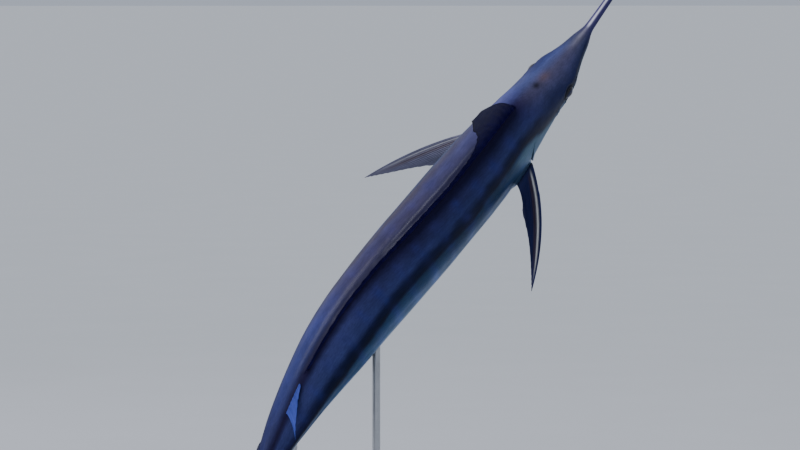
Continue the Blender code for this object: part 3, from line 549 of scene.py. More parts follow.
def body_relief(x, z, station, angle, across):
    """Return how far the trunk's and the tail stem's features stand out, in metres."""
    offset = across * LENGTH
    top, bottom = (angle < 60), (angle > 120)
    raised = np.zeros_like(x)
    for first, last, under in SHEATHS:
        along = within(first, last, 0.006, station) * (bottom if under else top)
        raised += along * (0.0014 * near(offset, 0.01) - 0.0005 * near(np.abs(offset) - 0.02, 0.01))
    # The groove that the pelvic fins fold into, and the vent
    raised -= within(*PELVIC_GROOVE, 0.012, station) * bottom * 0.004 * near(offset, 0.008)
    vent = np.hypot((station - VENT_STATION) * LENGTH / 1.8, offset)
    raised += bottom * (0.0016 * near(vent - 0.0065, 0.0028) - 0.005 * near(vent, 0.004))
    # A long shallow hollow where the muscles of the back and the belly meet, and a swelling above it
    raised -= 0.0022 * near(angle - 92, 7) * within(0.28, 0.9, 0.03, station)
    raised += 0.0012 * near(angle - 72, 12) * within(0.3, 0.88, 0.04, station)
    # Mounds of muscle at the pectoral fins' roots
    raised += 0.009 * near(line_distance(x, z, PECTORAL_ROOT), 0.021) * step(60, 80, angle)
    # Keels
    share = np.clip((station - KEEL_FRONT) / (KEEL_REAR - KEEL_FRONT), 0, 1)
    for sign in (1, -1):
        line = sign * KEEL_HEIGHT * (0.55 + 0.45 * share) * LENGTH
        raised += KEEL_STANDS * np.sin(np.pi * share) ** 0.7 * near(z - line, 0.0036)
    # Notches ahead of the tail fin
    notches = near(angle, 24) + near(angle - 180, 24)
    return raised - 0.003 * near((station - NOTCH_STATION) * LENGTH, 0.007) * notches


# The skin's screen colours from the back at 0 degrees to the belly at 180
HEAD_STOPS = ((0, 60, 58, 70), (26, 55, 58, 79), (44, 25, 31, 60), (58, 11, 19, 48), (66, 8, 16, 44),
              (73, 22, 42, 68), (88, 54, 82, 104), (104, 110, 130, 144), (124, 176, 183, 187),
              (150, 206, 206, 203), (180, 214, 212, 206))
# On the body the lower flank, from 95 to 126 degrees, is its own colour darkened by painted shade, as on an
# underside turned from the light
BODY_STOPS = ((0, 20, 12, 42), (9, 20, 16, 46), (22, 35, 37, 70), (38, 41, 48, 88), (48, 8, 15, 46),
              (58, 4, 8, 32), (60.5, 9, 20, 44), (64, 22, 46, 72), (80, 36, 64, 94), (95, 56, 82, 108),
              (110, 98, 118, 134), (126, 156, 165, 173), (148, 206, 206, 205), (180, 216, 215, 210))
TAIL_STOPS = ((0, 20, 15, 40), (30, 40, 42, 82), (46, 26, 29, 68), (58, 7, 13, 40), (68, 22, 40, 64),
              (88, 52, 74, 96), (118, 130, 139, 150), (145, 178, 180, 182), (180, 192, 192, 190))
BILL_STOPS = ((0, 66, 60, 92), (40, 52, 48, 92), (80, 48, 44, 84), (110, 50, 48, 64), (180, 84, 80, 80))
# The painted reflection of the sky on the left of the back, by station, and the eye, by metres from its
# middle
LEFT_SHEEN_STOPS = ((0.22, 84, 86, 140), (0.33, 77, 73, 108), (0.45, 68, 58, 80), (0.62, 66, 57, 82),
              (0.72, 60, 66, 128), (0.82, 54, 62, 122), (0.93, 36, 38, 66))
EYE_STOPS = ((0, 4, 5, 9), (0.0112, 5, 6, 11), (0.0117, 92, 90, 78), (0.0126, 44, 56, 92),
             (0.017, 24, 32, 72), (0.0215, 15, 19, 48), (0.025, 10, 11, 24), (0.031, 8, 8, 14))
BACK_EDGE = 62        # degrees in the tables above at which the dark back ends
# Station and the degrees at which it really ends there
BACK_EDGES = ((0.1, 80), (0.15, 83), (0.2, 79), (0.235, 70), (0.262, 62), (0.31, 61),
              (0.45, 60), (0.6, 61.5), (0.7, 68), (0.8, 76), (0.95, 80))
# Painted light on the head: how much lighter its colours are made on each side, most on the left
HEAD_LEFT_LIGHT = np.array((1.3, 1.45, 2))       # how much lighter the head's colours are on each side
HEAD_RIGHT_LIGHT = np.array((1.2, 1.1, 1.3))
BACK_TONE = np.array((1.2, 1.22, 1.32))     # lifts the colours of the whole back
# The colour of the painted highlight along the bill's ridge
BILL_HIGHLIGHT = srgb(222, 218, 226)
# The colour of the painted light on the right of the back
RIGHT_FLANK_LIGHT = srgb(62, 70, 122)
COBALT = srgb(52, 56, 136)
PALE_BAR = srgb(98, 122, 186)
CROWN_TAN = srgb(98, 72, 62)
CHEEK_SILVER = srgb(84, 116, 134)
# Painted shade around the pectoral fin's root
FIN_ROOT_SHADE = srgb(38, 74, 114)
SOCKET_SHADE = srgb(10, 12, 26)
# Dark for the spot behind the crown, and for painted shade in the gill slit and the creases
DARK_SPOT_AND_SHADE = srgb(6, 6, 10)
# Fins: membrane, rays and rim
FIRST_DORSAL_COLORS = srgb((19, 13, 62), (24, 18, 68), (10, 7, 32))
SECOND_DORSAL_COLORS = srgb((58, 72, 150), (56, 66, 146), (34, 40, 96))
ANAL_COLORS = srgb((22, 22, 36), (46, 44, 58), (14, 13, 22))
TAIL_COLORS = srgb((14, 13, 22), (32, 28, 38), (9, 8, 15))
TAIL_ROOT = srgb(30, 27, 42)
PELVIC_COLORS = srgb((16, 16, 28), (34, 32, 42), (10, 10, 16))
PECTORAL_COLORS = srgb((28, 35, 84), (46, 49, 88), (16, 20, 50))
PECTORAL_LIT_GREY = srgb(136, 134, 152)
PECTORAL_HIGHLIGHT = srgb(250, 246, 238)
PECTORAL_TAN = srgb(92, 70, 54)
PECTORAL_FOOT = srgb(20, 30, 44)
WOOD_STOPS = ((0.2, srgb(48, 30, 21)), (0.8, srgb(88, 56, 36)), (0.5, srgb(66, 41, 27)))
STEEL_STOPS = ((0.3, (0.42, 0.43, 0.45)), (0.7, (0.56, 0.57, 0.59)))


def paint_skin(rest, station, angle, across, slit, bumps):
    """Return the skin's colours and its finish: roughness, silver and the strength of the grain."""
    x, offset, z = np.moveaxis(rest, -1, 0)
    wander = 5 * noise(rest, (5, 9, 9), 3) + 2.5 * noise(rest, (22, 30, 30), 4)
    edge = smooth(BACK_EDGES)(station)
    girth = angle + (BACK_EDGE - edge) * near(angle - edge, 38)
    girth = np.clip(girth + wander * np.minimum(angle / 30, 1), 0, 180)
    tables = (HEAD_STOPS, BODY_STOPS, TAIL_STOPS, BILL_STOPS)
    head, body, tail, bill = (ramp(girth, stops) for stops in tables)
    color = mix(head, body, step(0.15, 0.235, station + 0.0012 * wander))
    color = mix(color, tail, step(0.78, 0.9, station))
    color = mix(bill, color, step(-0.02, 0.046, station - 0.00012 * (angle - 90) + 0.001 * wander))
    # A painted highlight: a pale line along the bill's ridge, a little to its left, that fades on the snout
    turned = angle * np.where(across < 0, -1, 1)
    bill_highlight = near(turned - 5, 14) * (1 - 0.8 * step(-0.004, 0.01, station))
    color = mix(color, BILL_HIGHLIGHT, 0.8 * bill_highlight * window((BILL_TIP, -0.15), (0.015, 0.075), station))
    # Painted light: the head is made lighter and bluer to the left of its ridge, the side that faces the
    # light, and a little lighter to the right
    tone = mix(HEAD_RIGHT_LIGHT, HEAD_LEFT_LIGHT, step(-0.014, 0.022, across))
    color = toned(color, tone, within(0.05, 0.225, 0.035, station) * fall(58, 84, angle))
    color = toned(color, BACK_TONE, fall(70, 110, angle))
    # The strip under the dark back is deeper in the middle of the flank and paler toward the tail
    depth = 0.55 * step(0.56, 0.72, station) - 0.38 * within(0.3, 0.5, 0.06, station)
    color = lit(color, depth * within(64, 104, 6, girth))
    # Painted light: the right of the back is made lighter and bluer toward the tail, as blue light reflected
    # onto that side would make it
    right_light = within(10, 46, 9, angle) * fall(-0.008, 0, across)
    color = mix(color, RIGHT_FLANK_LIGHT, 0.5 * right_light * window((0.52, 0.74), (0.93, 0.97), station))
    # Painted reflection of the sky on the left of the back: lilac by the head, brown in the middle and
    # violet toward the tail
    left_sheen = within(12, 64, 9, angle) * step(0, 0.008, across)
    color = mix(color, ramp(station, LEFT_SHEEN_STOPS), 0.45 * left_sheen * within(0.2, 0.93, 0.03, station))
    # Cobalt bars: rows of soft spots down the flank
    count = (station + 0.0035 * noise(rest, (8, 16, 16), 5) - BAR_FIRST) / BAR_STEP
    nearest = np.clip(np.round(count), 0, len(BAR_WEIGHTS) - 1)
    width = 0.01 + 0.0035 * noise(rest, (14, 20, 20), 10)
    strength = near(np.abs(count - nearest) * BAR_STEP, width) * within(18, 112, 9, angle)
    strength *= 0.74 + 0.26 * waves(angle, 17, nearest * 2.1)
    strength *= np.array(BAR_WEIGHTS)[nearest.astype(int)] * (1 - 0.75 * near(girth - 55, 7))
    strength *= np.clip(0.72 + 0.7 * noise(rest, (7, 11, 11), 6), 0.25, 1)
    # The bars are made faint on the left of the back, under the painted reflection
    strength *= 1 - 0.65 * step(-0.004, 0.01, across) * fall(50, 80, angle)
    color = mix(color, mix(COBALT, PALE_BAR, step(66, 100, girth)), 0.6 * strength)
    # Mottling
    mottle = noise(rest, (16, 26, 26), 7) + 0.6 * noise(rest, (44, 70, 70), 8)
    color = lit(color, 0.1 * mottle)
    # The patch on the crown and the dark spot behind it
    on_belly = 1 + 10 * (angle > 90)
    crown = np.hypot((station - CROWN_STATION) * LENGTH / 1.7, offset - 0.004) * on_belly
    color = mix(color, CROWN_TAN, 0.42 * near(crown, 0.019))
    spot = np.hypot((station - CROWN_SPOT) * LENGTH / 1.3, offset) * on_belly
    color = mix(color, DARK_SPOT_AND_SHADE, 0.75 * near(spot, 0.014))
    # Silver cheek and gill cover, then painted shade: grey blue around the pectoral fin's root, and dark in
    # the gill slit and in the sunken creases
    cheek = within(0.172, 0.275, 0.016, station + 0.001 * (girth - 80))
    color = mix(color, CHEEK_SILVER, 0.7 * cheek * within(66, 128, 4, girth))
    root = near(line_distance(x, z, PECTORAL_ROOT), 0.045) * (angle > 60)
    color = mix(color, FIN_ROOT_SHADE, 0.8 * root)
    color = mix(color, DARK_SPOT_AND_SHADE, 0.85 * slit)
    color = mix(color, DARK_SPOT_AND_SHADE, 0.55 * np.clip(-bumps / 0.0026, 0, 1) * (station < 0.26))
    # Painted shade in the eye's socket: a dark ring around it
    ring = fall(0.033, 0.048, eye_distance(x, z)) * step(30, 50, angle)
    color = np.clip(mix(color, SOCKET_SHADE, 0.9 * ring), 0, 1)
    bone = fall(-0.02, 0.05, station)
    rough = 0.46 - 0.17 * step(60, 118, girth) + 0.05 * noise(rest, (10, 14, 14), 9) - 0.22 * bone
    silver = np.clip(0.55 * within(72, 128, 12, girth) * (1 - bone) + 0.06 * strength, 0, 0.7)
    grain = (0.35 + 0.65 * within(0.2, 0.93, 0.04, station)) * (1 - 0.6 * bone)
    return color, np.stack((rough, silver, grain), -1)


def build_skin(look):
    """Build the whole skin of the fish, from the bill's tip to the root of the tail fin."""
    lips = np.array([0.1, 0.26, 0.45, 0.7])
    half = np.unique(np.concatenate((np.linspace(0, 180, 181), MOUTH_ROW + lips, MOUTH_ROW - lips)))
    close = np.array([0.0001, 0.0003, 0.0006])
    stretches = [np.linspace(*stretch) for stretch in SKIN_STRETCHES]
    stations = np.unique(np.concatenate((*stretches, COVER_COLUMN + close, COVER_COLUMN - close)))
    base_station, base_angle = grid(stations, np.concatenate((half, -half[-2:0:-1])))
    angle = np.abs(base_angle)

    # Draw one row of the grid onto the mouth's line
    mouth = np.clip(-mouth_of(base_station) / belly_of(base_station), 0, 0.97) ** (1 / SECTION_POWER)
    shift = 180 - np.degrees(np.arccos(mouth)) - MOUTH_ROW
    pull = np.where(angle < MOUTH_ROW, step(50, MOUTH_ROW, angle), fall(MOUTH_ROW, 180, angle))
    angle = angle + shift * window((-0.06, 0), (0.145, 0.2), base_station) * pull

    # Draw one column of the grid onto the gill cover's rear edge
    v = (angle - COVER_TOP) / (COVER_BOTTOM - COVER_TOP)
    shift = (cover_rear_of(v) - COVER_COLUMN) * window((25, COVER_TOP), (COVER_BOTTOM, 176), angle)
    station = base_station + shift * np.interp(base_station, (0.165, COVER_COLUMN, 0.3), (0, 1, 0))

    turn = np.radians(angle) * np.where(base_angle < 0, -1, 1)
    across, height = section(station, turn)
    x, z = station * LENGTH, height * LENGTH
    rest = np.stack((x, across * LENGTH, z), -1)
    cover, slit = cover_relief(station, angle)
    bumps = head_relief(x, z, station, angle, across) * fall(0.2, 0.24, station) + cover
    wave = 0.0007 * noise(rest, (7, 13, 13), 1) + 0.0003 * noise(rest, (26, 40, 40), 2)
    rounding = np.clip((BILL_TIP + BILL_ROUND - station) / BILL_ROUND, 0, 0.98)
    point = (1 - np.sqrt(1 - rounding ** 2)) * width_of(station) * LENGTH
    raised = bumps + body_relief(x, z, station, angle, across) + wave * step(-0.02, 0.1, station) - point
    tint, finish = paint_skin(rest, station, angle, across, slit, bumps)

    columns, rows = base_station.shape
    last = (columns - 1) * rows
    faces = wrapped_faces(columns, rows).tolist()
    faces.append(list(range(rows - 1, -1, -1)))
    faces.append([last + r for r in range(rows)])
    points = posed(station, *section(station, turn, raised))
    nodes = ("bill", "head", "lower_jaw", "trunk_front", "trunk_rear", "tail_stem", "gill_cover_left",
             "gill_cover_right")
    new_piece("fish_skin", points, faces, rest, tint, finish, look, nodes)


def new_fin(name, nodes, middle, face, half, rest, tint, look):
    """Add a thin closed fin from its middle points, face directions and half thicknesses."""
    lift = half[..., None] * face
    points = np.stack((middle + lift, middle - lift)).reshape(-1, 3)
    faces = outward_faces(points, sheet_faces(*half.shape))
    finish = np.full(points.shape, (FIN_ROUGH, 0, 1))
    new_piece(name, points, faces.tolist(), np.stack((rest, rest)), np.stack((tint, tint)), finish, look,
              nodes)


def ray_shape(k):
    """Return 1 on a ray and 0 midway between rays: the solids have their rays at odd places."""
    return (0.5 - 0.5 * np.cos(np.pi * k)) ** 1.4


def curve_point(start, bend, end, t):
    """Return points on a curve from start to end that is drawn toward bend."""
    return [(1 - t) ** 2 * a + 2 * t * (1 - t) * b + t * t * c for a, b, c in zip(start, bend, end)]


def length_of(start, end):
    """Return the length in metres of lines given in shares of the fish's length."""
    return LENGTH * np.hypot(end[0] - start[0], end[1] - start[1])


def moved(points, *moves):
    """Move points by amounts along directions."""
    for amount, way in moves:
        points = points + amount[..., None] * way
    return points


def unit(vectors):
    """Return vectors with length 1."""
    return vectors / np.linalg.norm(vectors, axis=-1, keepdims=True)


def paint_fin(k, t, rest, web, ray, rim):
    """Return a fin's colours: dark membrane, rays a little lighter, and a rim at the edge."""
    color = mix(web, ray, ray_shape(k) * (0.65 - 0.35 * t))
    mottle = noise(rest, (30, 14, 14), 11) + 0.5 * noise(rest, (90, 40, 40), 12)
    return np.clip(mix(lit(color, 0.16 * mottle), rim, 0.6 * step(0.93, 1, t)), 0, 1)


def median_fin(name, nodes, front, base, rays, crowd, edge, halves, colors, look, lean=0, sign=1, rows=40):
    """Build a fin on the fish's middle line, above it or with sign -1 below, its rays as ridges."""
    surface = back_of if sign > 0 else belly_of
    ray_half, web_half, tip_half = halves
    k, row = grid(np.linspace(0, 2 * rays, 8 * rays + 1), np.arange(rows))
    along = base * (k / (2 * rays)) ** crowd
    start = (front + along, surface(front + along) + FIN_ROOT_CLEAR / LENGTH)
    tip = front + column(edge, 1)(along)
    end = (tip, surface(tip) + column(edge, 2)(along))
    bend = (0.72 * start[0] + 0.28 * end[0], 0.35 * start[1] + 0.65 * end[1])
    reach = length_of(start, end)
    notch = np.minimum(0.22, 0.008 / np.maximum(reach, 0.01)) * (1 - ray_shape(k))
    share = np.clip((row - 2) / (rows - 3), 0, 1)
    t = share * (1 - notch * window((0, 2), (2 * rays - 2, 2 * rays), k))
    station, height = curve_point(start, bend, end, t)
    raised = np.maximum(0, height - surface(station) - FIN_ROOT_CLEAR / LENGTH)
    sunk = np.clip(2 - row, 0, 2) * 0.5 * (FIN_ROOT_SUNK + FIN_ROOT_CLEAR) / LENGTH
    ripple = 0.0012 / LENGTH * np.sin(k * 0.9 + 5 * t) * t * (1 - ray_shape(k))
    middle = posed(station, lean * raised + ripple, sign * (height - sunk))
    _, left, up = directions(front + along)
    face = unit(left - (sign * lean * step(1, 3, row))[..., None] * up)
    half = between(between(web_half, ray_half, ray_shape(k)), tip_half, share ** 1.2)
    half = half + 0.003 * near(share * reach, 0.006)
    rest = np.stack((k * 0.012, t * reach, np.full_like(k, front)), -1)
    new_fin(name, nodes, middle, face, half, rest, paint_fin(k, share, rest, *colors), look)


def tail_fin(look):
    """Build the crescent tail fin with both lobes in one, its rays fanning from the stem."""
    rows = 44
    place, row = grid(np.linspace(-1, 1, 16 * TAIL_FIN_RAYS + 1), np.arange(rows))
    share, sign = np.abs(place), np.where(place < 0, -1, 1)
    k = (1 - share) * 2 * TAIL_FIN_RAYS
    t = np.clip((row - 2) / (rows - 3), 0, 1)
    inner = np.clip(2 - row, 0, 2) * 0.0035
    start = (TAIL_REAR - 0.001 - inner, TAIL_ROOT_HEIGHT * share * (1 - 6 * inner))
    reach = share ** 0.8
    end = (smooth(TAIL_EDGE)(reach), TAIL_FIN_HEIGHT * reach)
    length = length_of(start, end)
    bend = (start[0] + 0.3 * (end[0] - start[0]), start[1] + 0.52 * (end[1] - start[1]))
    notch = 0.005 / length * (1 - ray_shape(k)) * step(0, 0.05, 1 - share)
    station, height = curve_point(start, bend, end, t * (1 - notch))
    ray_half, web_half, tip_half = TAIL_HALVES
    root = TAIL_ROOT_HALF * np.sqrt(np.maximum(0, 1 - share ** 2)) + 0.002
    full = between(web_half, ray_half, np.maximum(ray_shape(k), step(0.965, 1, share)))
    thick = between(root, full, np.minimum(1, t / TAIL_FLESHY) ** 0.7)
    half = between(thick, tip_half, np.clip((t - TAIL_FLESHY) / (1 - TAIL_FLESHY), 0, 1) ** 1.2)
    rest = np.stack((k * 0.012 * sign, t * length, np.full_like(k, 1)), -1)
    tint = mix(TAIL_ROOT, paint_fin(k, t, rest, *TAIL_COLORS), step(0.05, 0.45, t))
    new_fin("tail_fin", ("tail_fin_upper", "tail_fin_lower"), posed(station, 0, sign * height),
            directions(TAIL_REAR)[1], half, rest, tint, look)


def pectoral_fin(word, side, look):
    """Build a pectoral fin held out like a wing, its root flaring into the flank."""
    ahead, left, up = directions(PECTORAL_STATION)
    outward = left * side
    aim_shares, chord_shares, bow = PECTORAL_POSES[word]
    aim = unit(aim_shares[0] * ahead + aim_shares[1] * outward + aim_shares[2] * up)
    chord_way = chord_shares[0] * ahead + chord_shares[1] * outward + chord_shares[2] * up
    chord_way = unit(chord_way - aim * chord_way.dot(aim))
    face_way = unit(np.cross(chord_way, aim))
    root_front, root_rear = (posed(station, side * surface_across(station, height), height)
                             for station, height in PECTORAL_ENDS)
    chord_of = smooth(PECTORAL_CHORD)
    rows, root_rows = 52, 8
    k, row = grid(np.linspace(0, 2 * PECTORAL_RAYS, 8 * PECTORAL_RAYS + 1), np.arange(rows))
    share = k / (2 * PECTORAL_RAYS)
    t = np.clip((row - root_rows) / (rows - 1 - root_rows), 0, 1)

    def outline(along, across):
        return PECTORAL_LENGTH * along, -4 * bow * along * (1 - along) + across * chord_of(along)

    local = mix(root_front, root_rear, share) + outward * PECTORAL_ROOT_OUT - root_front
    start = (local @ aim / LENGTH, local @ chord_way / LENGTH)
    reach = between(1, PECTORAL_INNER, share ** 1.6)
    end = outline(reach, share ** 0.5)
    bowed = outline(0.5 * reach, share)
    bend = [(a + b) / 2 + 2 * (1 - share) * (c - (a + b) / 2) for a, b, c in zip(start, end, bowed)]
    length = length_of(start, end)
    notch = 0.006 / length * (1 - ray_shape(k)) * step(0.02, 0.1, share)
    flat_x, flat_y = curve_point(start, bend, end, t * (1 - notch))
    lift = (local @ face_way) * (1 - t) ** 2
    depth = np.clip(root_rows - row, 0, root_rows) / root_rows * (PECTORAL_ROOT_OUT + 0.006)
    middle = moved(root_front, (flat_x * LENGTH, aim), (flat_y * LENGTH, chord_way), (lift, face_way),
                   (depth, -outward))
    root_half, ray_half, web_half, tip_half = PECTORAL_HALVES
    full = between(web_half, ray_half, np.maximum(ray_shape(k), fall(0, 0.03, share)))
    half = between(between(root_half, full, np.minimum(1, t / 0.3)), tip_half, t ** 1.6)
    half = half + 0.006 * near(np.maximum(PECTORAL_ROOT_OUT - depth, 0), 0.006) * (t <= 0)
    ends = np.clip(np.minimum(share, 1 - share) / 0.06, 0, 1)
    half = np.where(t < 0.25, half * (0.35 + 0.65 * np.sqrt(ends)), half)
    out = t * length - depth
    rest = np.stack((k * 0.012, out, np.full_like(k, side)), -1)
    # The blade with painted light in grey brown, a painted highlight as a pale line behind the leading edge
    # and the tan line behind it, and the blue foot
    along = window((0.02, 0.12), (0.72, 1), t)
    tint = mix(paint_fin(k, t, rest, *PECTORAL_COLORS), PECTORAL_LIT_GREY, PECTORAL_LIGHT_SHARE[word])
    tint = mix(tint, PECTORAL_HIGHLIGHT, PECTORAL_HIGHLIGHT_SHARE[word] * near(share - 0.12, 0.042) * along)
    tint = mix(tint, PECTORAL_TAN, 0.45 * near(share - 0.24, 0.07) * along)
    tint = mix(PECTORAL_FOOT, tint, step(-0.002, 0.035, out + 0.004))
    new_fin("pectoral_" + word, ("pectoral_fin_" + word,), middle, face_way, half, rest, tint, look)


def pelvic_fin(word, side, look):
    """Build a pelvic fin, a long thin blade that trails under the belly."""
    ahead, left, up = directions(PELVIC_STATION)
    outward = left * side
    aim = unit(PELVIC_AIM[0] * ahead + PELVIC_AIM[1] * outward + PELVIC_AIM[2] * up)
    chord_way = unit(outward - aim * outward.dot(aim))
    angle = math.pi - math.asin(PELVIC_ACROSS / width_of(PELVIC_STATION))
    root = posed(PELVIC_STATION, side * PELVIC_ACROSS, section(PELVIC_STATION, angle)[1])
    k, t = grid(np.linspace(0, 4, 25), np.arange(60) / 59)
    across = k / 2 - 1
    x = between(-PELVIC_SUNK, PELVIC_LENGTH * LENGTH, t)
    width = PELVIC_WIDTH * LENGTH * (1 - 0.78 * t ** 1.4)
    middle = moved(root, (x, aim), (across * 0.5 * width, chord_way), (PELVIC_SAG * t * t - 0.001, up))
    ray_half, web_half, tip_half = PELVIC_HALVES
    full = between(web_half, ray_half, ray_shape(k)) * np.sqrt(np.clip(1.06 - across ** 2, 0, 1))
    rest = np.stack((k * 0.004, x, np.full_like(k, side)), -1)
    new_fin("pelvic_" + word, ("pelvic_fin_" + word,), middle, unit(np.cross(aim, chord_way)),
            between(full, tip_half, t), rest, paint_fin(k, t, rest, *PELVIC_COLORS), look)


def add_fins(look):
    """Build every fin."""
    median_fin("first_dorsal", ("dorsal_fin_first_lobe", "dorsal_fin_first_rear"), *FIRST_DORSAL, 1.4,
               FIRST_DORSAL_EDGE, LARGE_FIN_HALVES, FIRST_DORSAL_COLORS, look, FIRST_DORSAL_LEAN, rows=56)
    median_fin("second_dorsal", ("dorsal_fin_second",), *SECOND_DORSAL, 1, SECOND_DORSAL_EDGE,
               SMALL_FIN_HALVES, SECOND_DORSAL_COLORS, look, SECOND_DORSAL_LEAN)
    median_fin("first_anal", ("anal_fin_first",), *FIRST_ANAL, 1.2, FIRST_ANAL_EDGE, LARGE_FIN_HALVES,
               ANAL_COLORS, look, FIRST_ANAL_LEAN, -1)
    median_fin("second_anal", ("anal_fin_second",), *SECOND_ANAL, 1, SECOND_ANAL_EDGE, SMALL_FIN_HALVES,
               ANAL_COLORS, look, sign=-1)
    tail_fin(look)
    for side, word in SIDES:
        pectoral_fin(word, side, look)
        pelvic_fin(word, side, look)


def eyeball(word, side, look):
    """Build an eyeball with a domed clear front, its iris and pupil painted in rings."""
    ahead, left, up = directions(EYE_STATION)
    middle = surface_across(EYE_STATION, EYE_HEIGHT) - EYE_SUNK / LENGTH
    centre = posed(EYE_STATION, side * middle, EYE_HEIGHT)
    rings, turns = 72, 96
    polar, turn = grid(np.linspace(0, math.pi, rings), np.linspace(0, 2 * math.pi, turns, endpoint=False))
    radius = EYE_RADIUS * np.sin(polar)
    flat_x, flat_y = radius * np.cos(turn), radius * np.sin(turn)
    depth = EYE_DEPTH * np.cos(polar) + 0.0012 * near(radius, 0.016) * (polar < math.pi / 2)
    points = moved(centre, (flat_x, ahead), (flat_y, up), (depth, left * side)).reshape(-1, 3)
    streaks = noise(np.stack((np.cos(turn) * 2, np.sin(turn) * 2, radius * 40), -1), 9, 21)
    iris = within(0.0113, 0.0225, 0.0012, radius)
    color = np.clip(lit(ramp(radius, EYE_STOPS), 0.35 * streaks * iris), 0, 1)
    finish = np.stack((np.full_like(radius, 0.08), 0.35 * iris, np.full_like(radius, 0.3)), -1)
    faces = outward_faces(points, wrapped_faces(rings, turns)).tolist()
    new_piece("eyeball_" + word, points, faces, np.stack((flat_x, flat_y, depth), -1), color, finish, look,
              ("eye_" + word,))


class Look:
    """A material whose nodes are added one at a time."""

    def __init__(self, name):
        self.material = bpy.data.materials.new(name)
        self.material.use_nodes = True
        self.tree = self.material.node_tree
        self.shader = self.tree.nodes["Principled BSDF"]

    def feed(self, node, values):
        """Set or link a node's inputs by name or number."""
        for name, value in values.items():
            if isinstance(value, bpy.types.NodeSocket):
                self.tree.links.new(value, node.inputs[name])
            else:
                node.inputs[name].default_value = value

    def done(self, **values):
        """Set or link the shader's inputs, named with underscores for spaces, and return the material."""
        self.feed(self.shader, {name.replace("_", " "): value for name, value in values.items()})
        return self.material

    def node(self, kind, output, values, **settings):
        """Add a node with its settings and inputs, and return one of its outputs."""
        node = self.tree.nodes.new("ShaderNode" + kind)
        for name, value in settings.items():
            setattr(node, name, value)
        self.feed(node, values)
        return node.outputs[output]

    def attribute(self, name, output):
        return self.node("Attribute", output, {}, attribute_name=name)

    def painted(self):
        """Return the place on the fish, the painted colour and the three values of the finish."""
        finish = self.tree.nodes.new("ShaderNodeSeparateColor")
        self.feed(finish, {0: self.attribute("finish", "Color")})
        return self.attribute("rest", "Vector"), self.attribute("tint", "Color"), tuple(finish.outputs)

    def place(self):
        return self.node("TexCoord", "Object", {})

    def stretched(self, vector, scale):
        return self.node("Mapping", "Vector", {"Vector": vector, "Scale": scale})

    def noise(self, vector, scale, detail=3, roughness=0.55):
        values = {"Vector": vector, "Scale": scale, "Detail": detail, "Roughness": roughness}
        return self.node("TexNoise", "Fac", values)

    def math(self, operation, first, second):
        return self.node("Math", 0, {0: first, 1: second}, operation=operation)

    def span(self, value, low, high):
        """Map a value from 0..1 to low..high."""
        return self.node("MapRange", "Result", {"Value": value, "To Min": low, "To Max": high})

    def colors(self, value, stops):
        """Colour a value from 0 to 1. The first two stops are the ramp's own elements."""
        node = self.tree.nodes.new("ShaderNodeValToRGB")
        elements = node.color_ramp.elements
        for i, (place, color) in enumerate(stops):
            element = elements[i] if i < 2 else elements.new(place)
            element.position = place
            element.color = (*color, 1)
        self.feed(node, {"Fac": value})
        return node.outputs["Color"]

    def shaded(self, color, value, low, high):
        """Darken and lighten a colour by a value from 0 to 1."""
        grey = self.colors(value, ((0.25, (low,) * 3), (0.75, (high,) * 3)))
        return self.node("Mix", 2, {0: 1, 6: color, 7: grey}, data_type="RGBA", blend_type="MULTIPLY")

    def bump(self, height, strength, distance, **under):
        """Add bumps, over the Normal of others if it is given."""
        values = {"Height": height, "Strength": strength, "Distance": distance, **under}
        return self.node("Bump", "Normal", values)


def skin_look():
    """Wet skin: colour from the painting, long scales lying in it, fine pores and a film of water."""
    look = Look("wet_skin")
    rest, tint, (rough, silver, grain) = look.painted()
    streaks = look.noise(look.stretched(rest, (9, 60, 60)), 2.2, 4, 0.6)
    scales = look.node("TexVoronoi", "Distance",
                       {"Vector": look.stretched(rest, (62, 210, 210)), "Scale": 1})
    color = look.shaded(tint, streaks, 0.84, 1.16)
    color = look.shaded(color, look.noise(rest, 14, 5, 0.6), 0.88, 1.12)
    color = look.shaded(color, scales, 1.06, 0.93)
    film = look.span(look.noise(rest, 30, 4), -0.1, 0.12)
    normal = look.bump(scales, look.math("MULTIPLY", grain, 0.32), 0.0012)
    pores = look.noise(look.stretched(rest, (160, 420, 420)), 1)
    normal = look.bump(pores, 0.22, 0.0008, Normal=normal)
    normal = look.bump(look.noise(rest, 520, 2), 0.1, 0.0006, Normal=normal)
    return look.done(Base_Color=color, Metallic=silver, Roughness=look.math("ADD", rough, film), IOR=1.28,
                     Coat_Weight=0.06, Coat_Roughness=0.2, Specular_IOR_Level=0.25,
                     Specular_Tint=(0.6, 0.72, 1, 1), Normal=normal)


def fin_look():
    """Fin: dark membrane with fine lines along the rays, satin and wet."""
    look = Look("fin_membrane")
    rest, tint, finish = look.painted()
    lines = look.noise(look.stretched(rest, (900, 9, 40)), 1)
    blotches = look.noise(look.stretched(rest, (60, 22, 22)), 1, 4)
    color = look.shaded(look.shaded(tint, lines, 0.8, 1.2), blotches, 0.82, 1.18)
    rough = look.math("ADD", finish[0], look.span(blotches, -0.1, 0.12))
    grain = look.noise(look.stretched(rest, (300, 120, 120)), 1)
    normal = look.bump(grain, 0.2, 0.0008, Normal=look.bump(lines, 0.35, 0.0008))
    return look.done(Base_Color=color, Roughness=rough, IOR=1.2, Coat_Weight=0.02, Coat_Roughness=0.3,
                     Specular_IOR_Level=0.25, Specular_Tint=(0.62, 0.66, 1, 1), Normal=normal)


